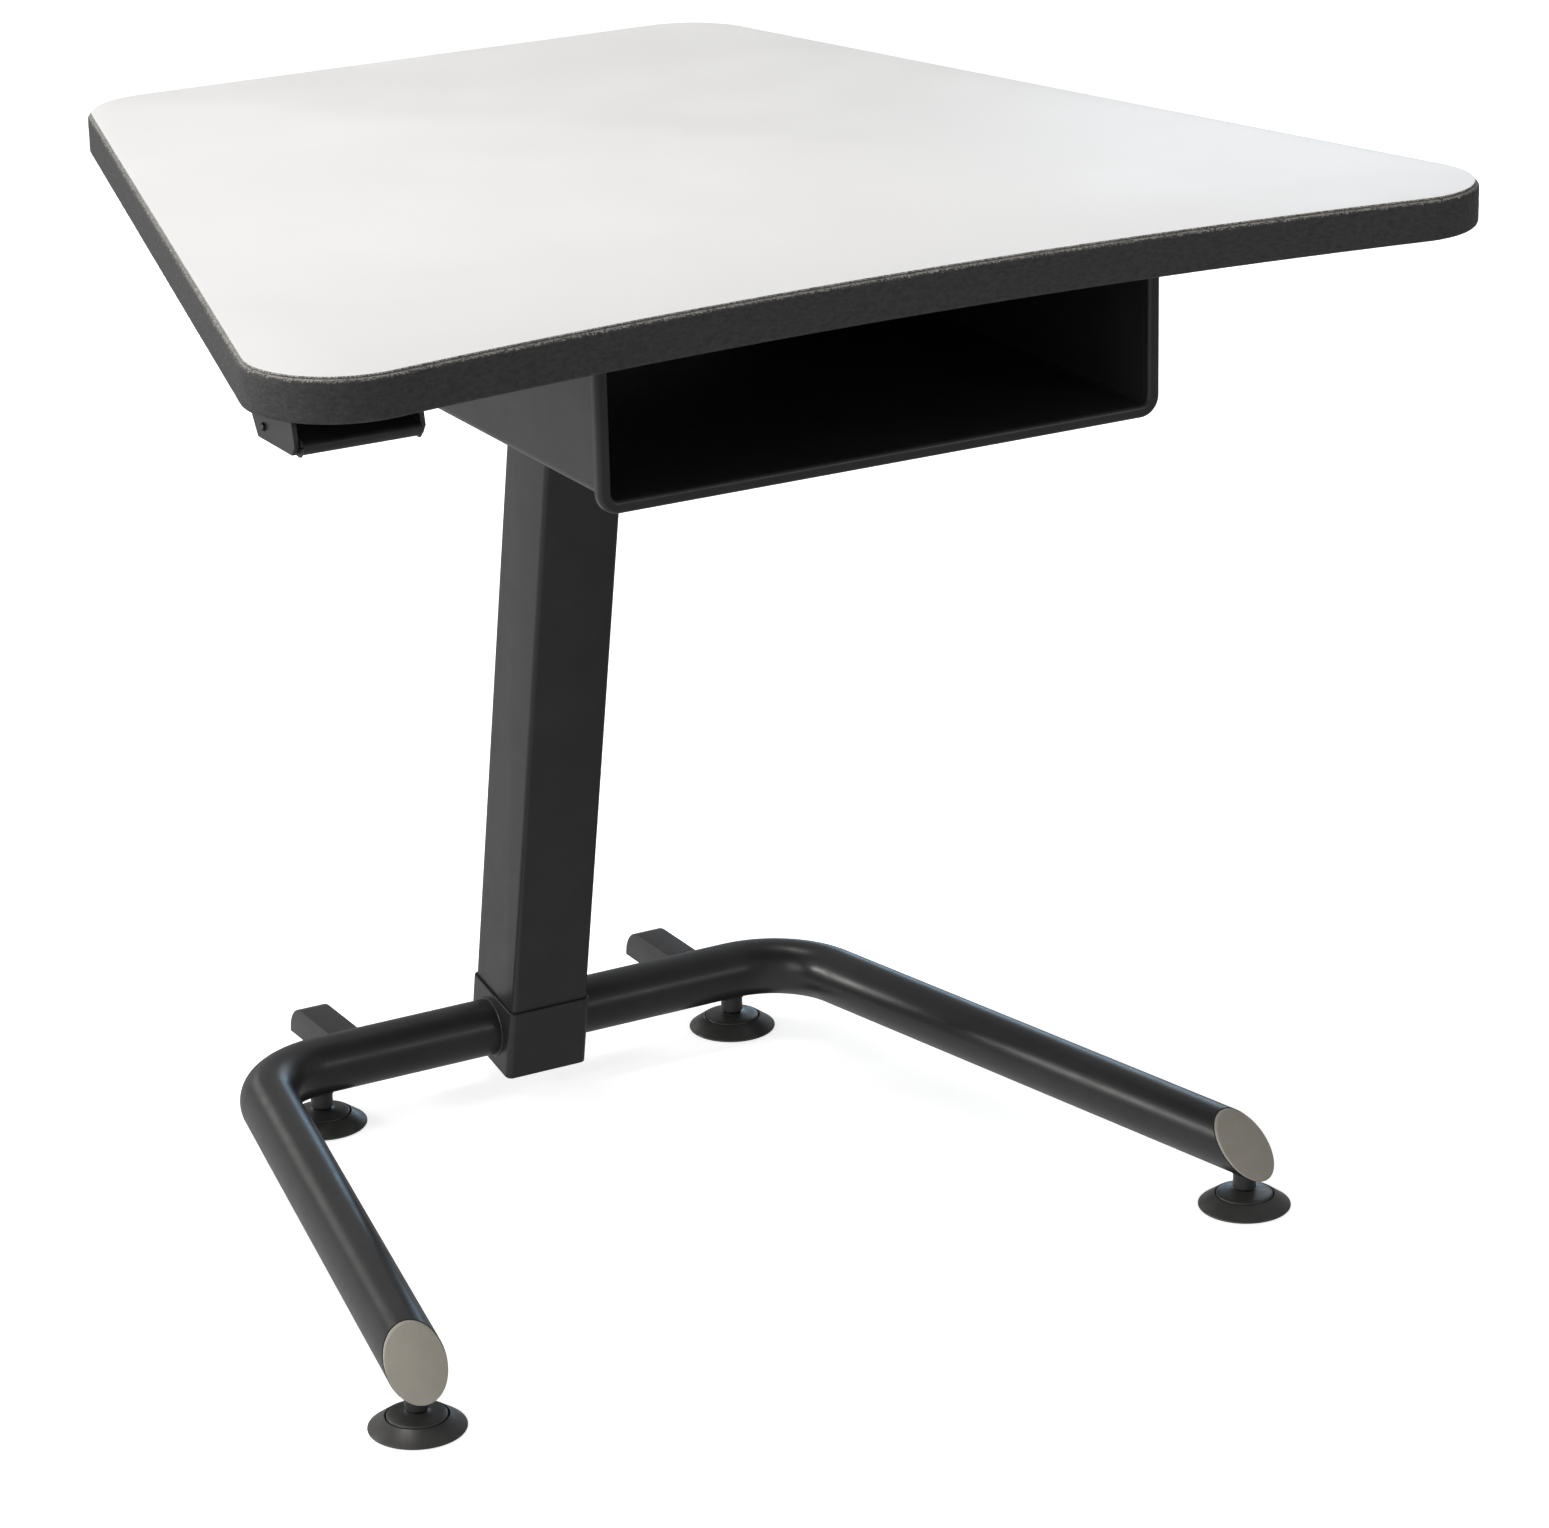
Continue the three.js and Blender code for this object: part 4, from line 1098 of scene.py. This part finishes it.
def build_paddle_pin():
    low, high = corners("release_pin")
    ease = 0.6
    stations = [(low.x, PIN_R - ease), (low.x + ease, PIN_R), (high.x - ease, PIN_R),
                (high.x, PIN_R - ease)]
    bm = bar_along_x(stations, PIN.y, PIN.z, 32)
    finish_piece("paddle_pin", bm, THREAD, "carriage", ["release_pin"])


def build_release_cable():
    """It runs just under the worktop, then dips to the hole in the inner column's left wall."""
    start_x = (PADDLE_LOW.x + PADDLE_HIGH.x) / 2
    entry = COLUMN @ Vector((0, 0, CABLE_ENTRY_S))
    hung = BAND_LOW.z - 7
    route = [
        (start_x, PIN.y + 24, hung - 1), (start_x, PIN.y + 60, hung), (-335, BAR_Y - 420, hung),
        (-290, BAR_Y - 310, hung - 1), (-225, BAR_Y - 215, hung - 4), (-140, BAR_Y - 155, hung - 9),
        (-70, entry.y, entry.z), (-15, entry.y, entry.z),
    ]
    bm = skin(tube_rows(smooth_line([Vector(p) for p in route], 12), CABLE_R, 16))
    finish_piece("release_cable_piece", bm, JACKET, "carriage", ["release_cable"])


def smooth_line(points, steps):
    """A Catmull-Rom curve through the points."""
    line = []
    for i in range(len(points) - 1):
        a = points[i - 1] if i else points[0] * 2 - points[1]
        b, c = points[i], points[i + 1]
        d = points[i + 2] if i + 2 < len(points) else c * 2 - b
        for k in range(steps):
            t = k / steps
            line.append(0.5 * (2 * b + (c - a) * t + (2 * a - 5 * b + 4 * c - d) * t**2
                               + (3 * b - a - 3 * c + d) * t**3))
    line.append(points[-1])
    return line


# ---- CAD nodes whose own shape stays ----------------------------------------------------------


def dress(node, finish, bevel_mm=0.0):
    """Gives a CAD node its material and, if a width is given, eased edges."""
    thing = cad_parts[node]
    thing.data.materials.clear()
    thing.data.materials.append(finish)
    if bevel_mm:
        bevel = thing.modifiers.new("eased_edges", "BEVEL")
        bevel.width = bevel_mm * MM
        bevel.segments = 2
        bevel.limit_method = "ANGLE"
        bevel.angle_limit = math.radians(60)
        bevel.harden_normals = True


camera()
studio()
build_edge_band()
build_white_face()
build_screws()
build_base_tube()
for side, word in SIDES:
    build_end_cap(side, word)
for _, word in SIDES:
    build_heel_bar(word)
for where in FEET:
    build_boss(where)
build_outer_column()
build_base_collar()
build_inner_column()
build_guide_bush()
build_gas_rod()
build_gas_cylinder()
build_book_box_pan()
build_book_box_back()
build_book_box_rim()
for where in FEET:
    build_leveller(where)
build_paddle()
build_paddle_pin()
build_release_cable()
dress("worktop_core", BOARD)
dress("backer_sheet", BACKING)
dress("head_plate", COAT, 0.5)
dress("gusset_left", COAT, 0.5)
dress("gusset_right", COAT, 0.5)
dress("release_bracket", COAT, 0.3)
dress("column_slide_shoe", NYLON)
dress("column_bottom_cap", NYLON, 0.5)
dress("gas_spring_anchor", COAT, 0.4)
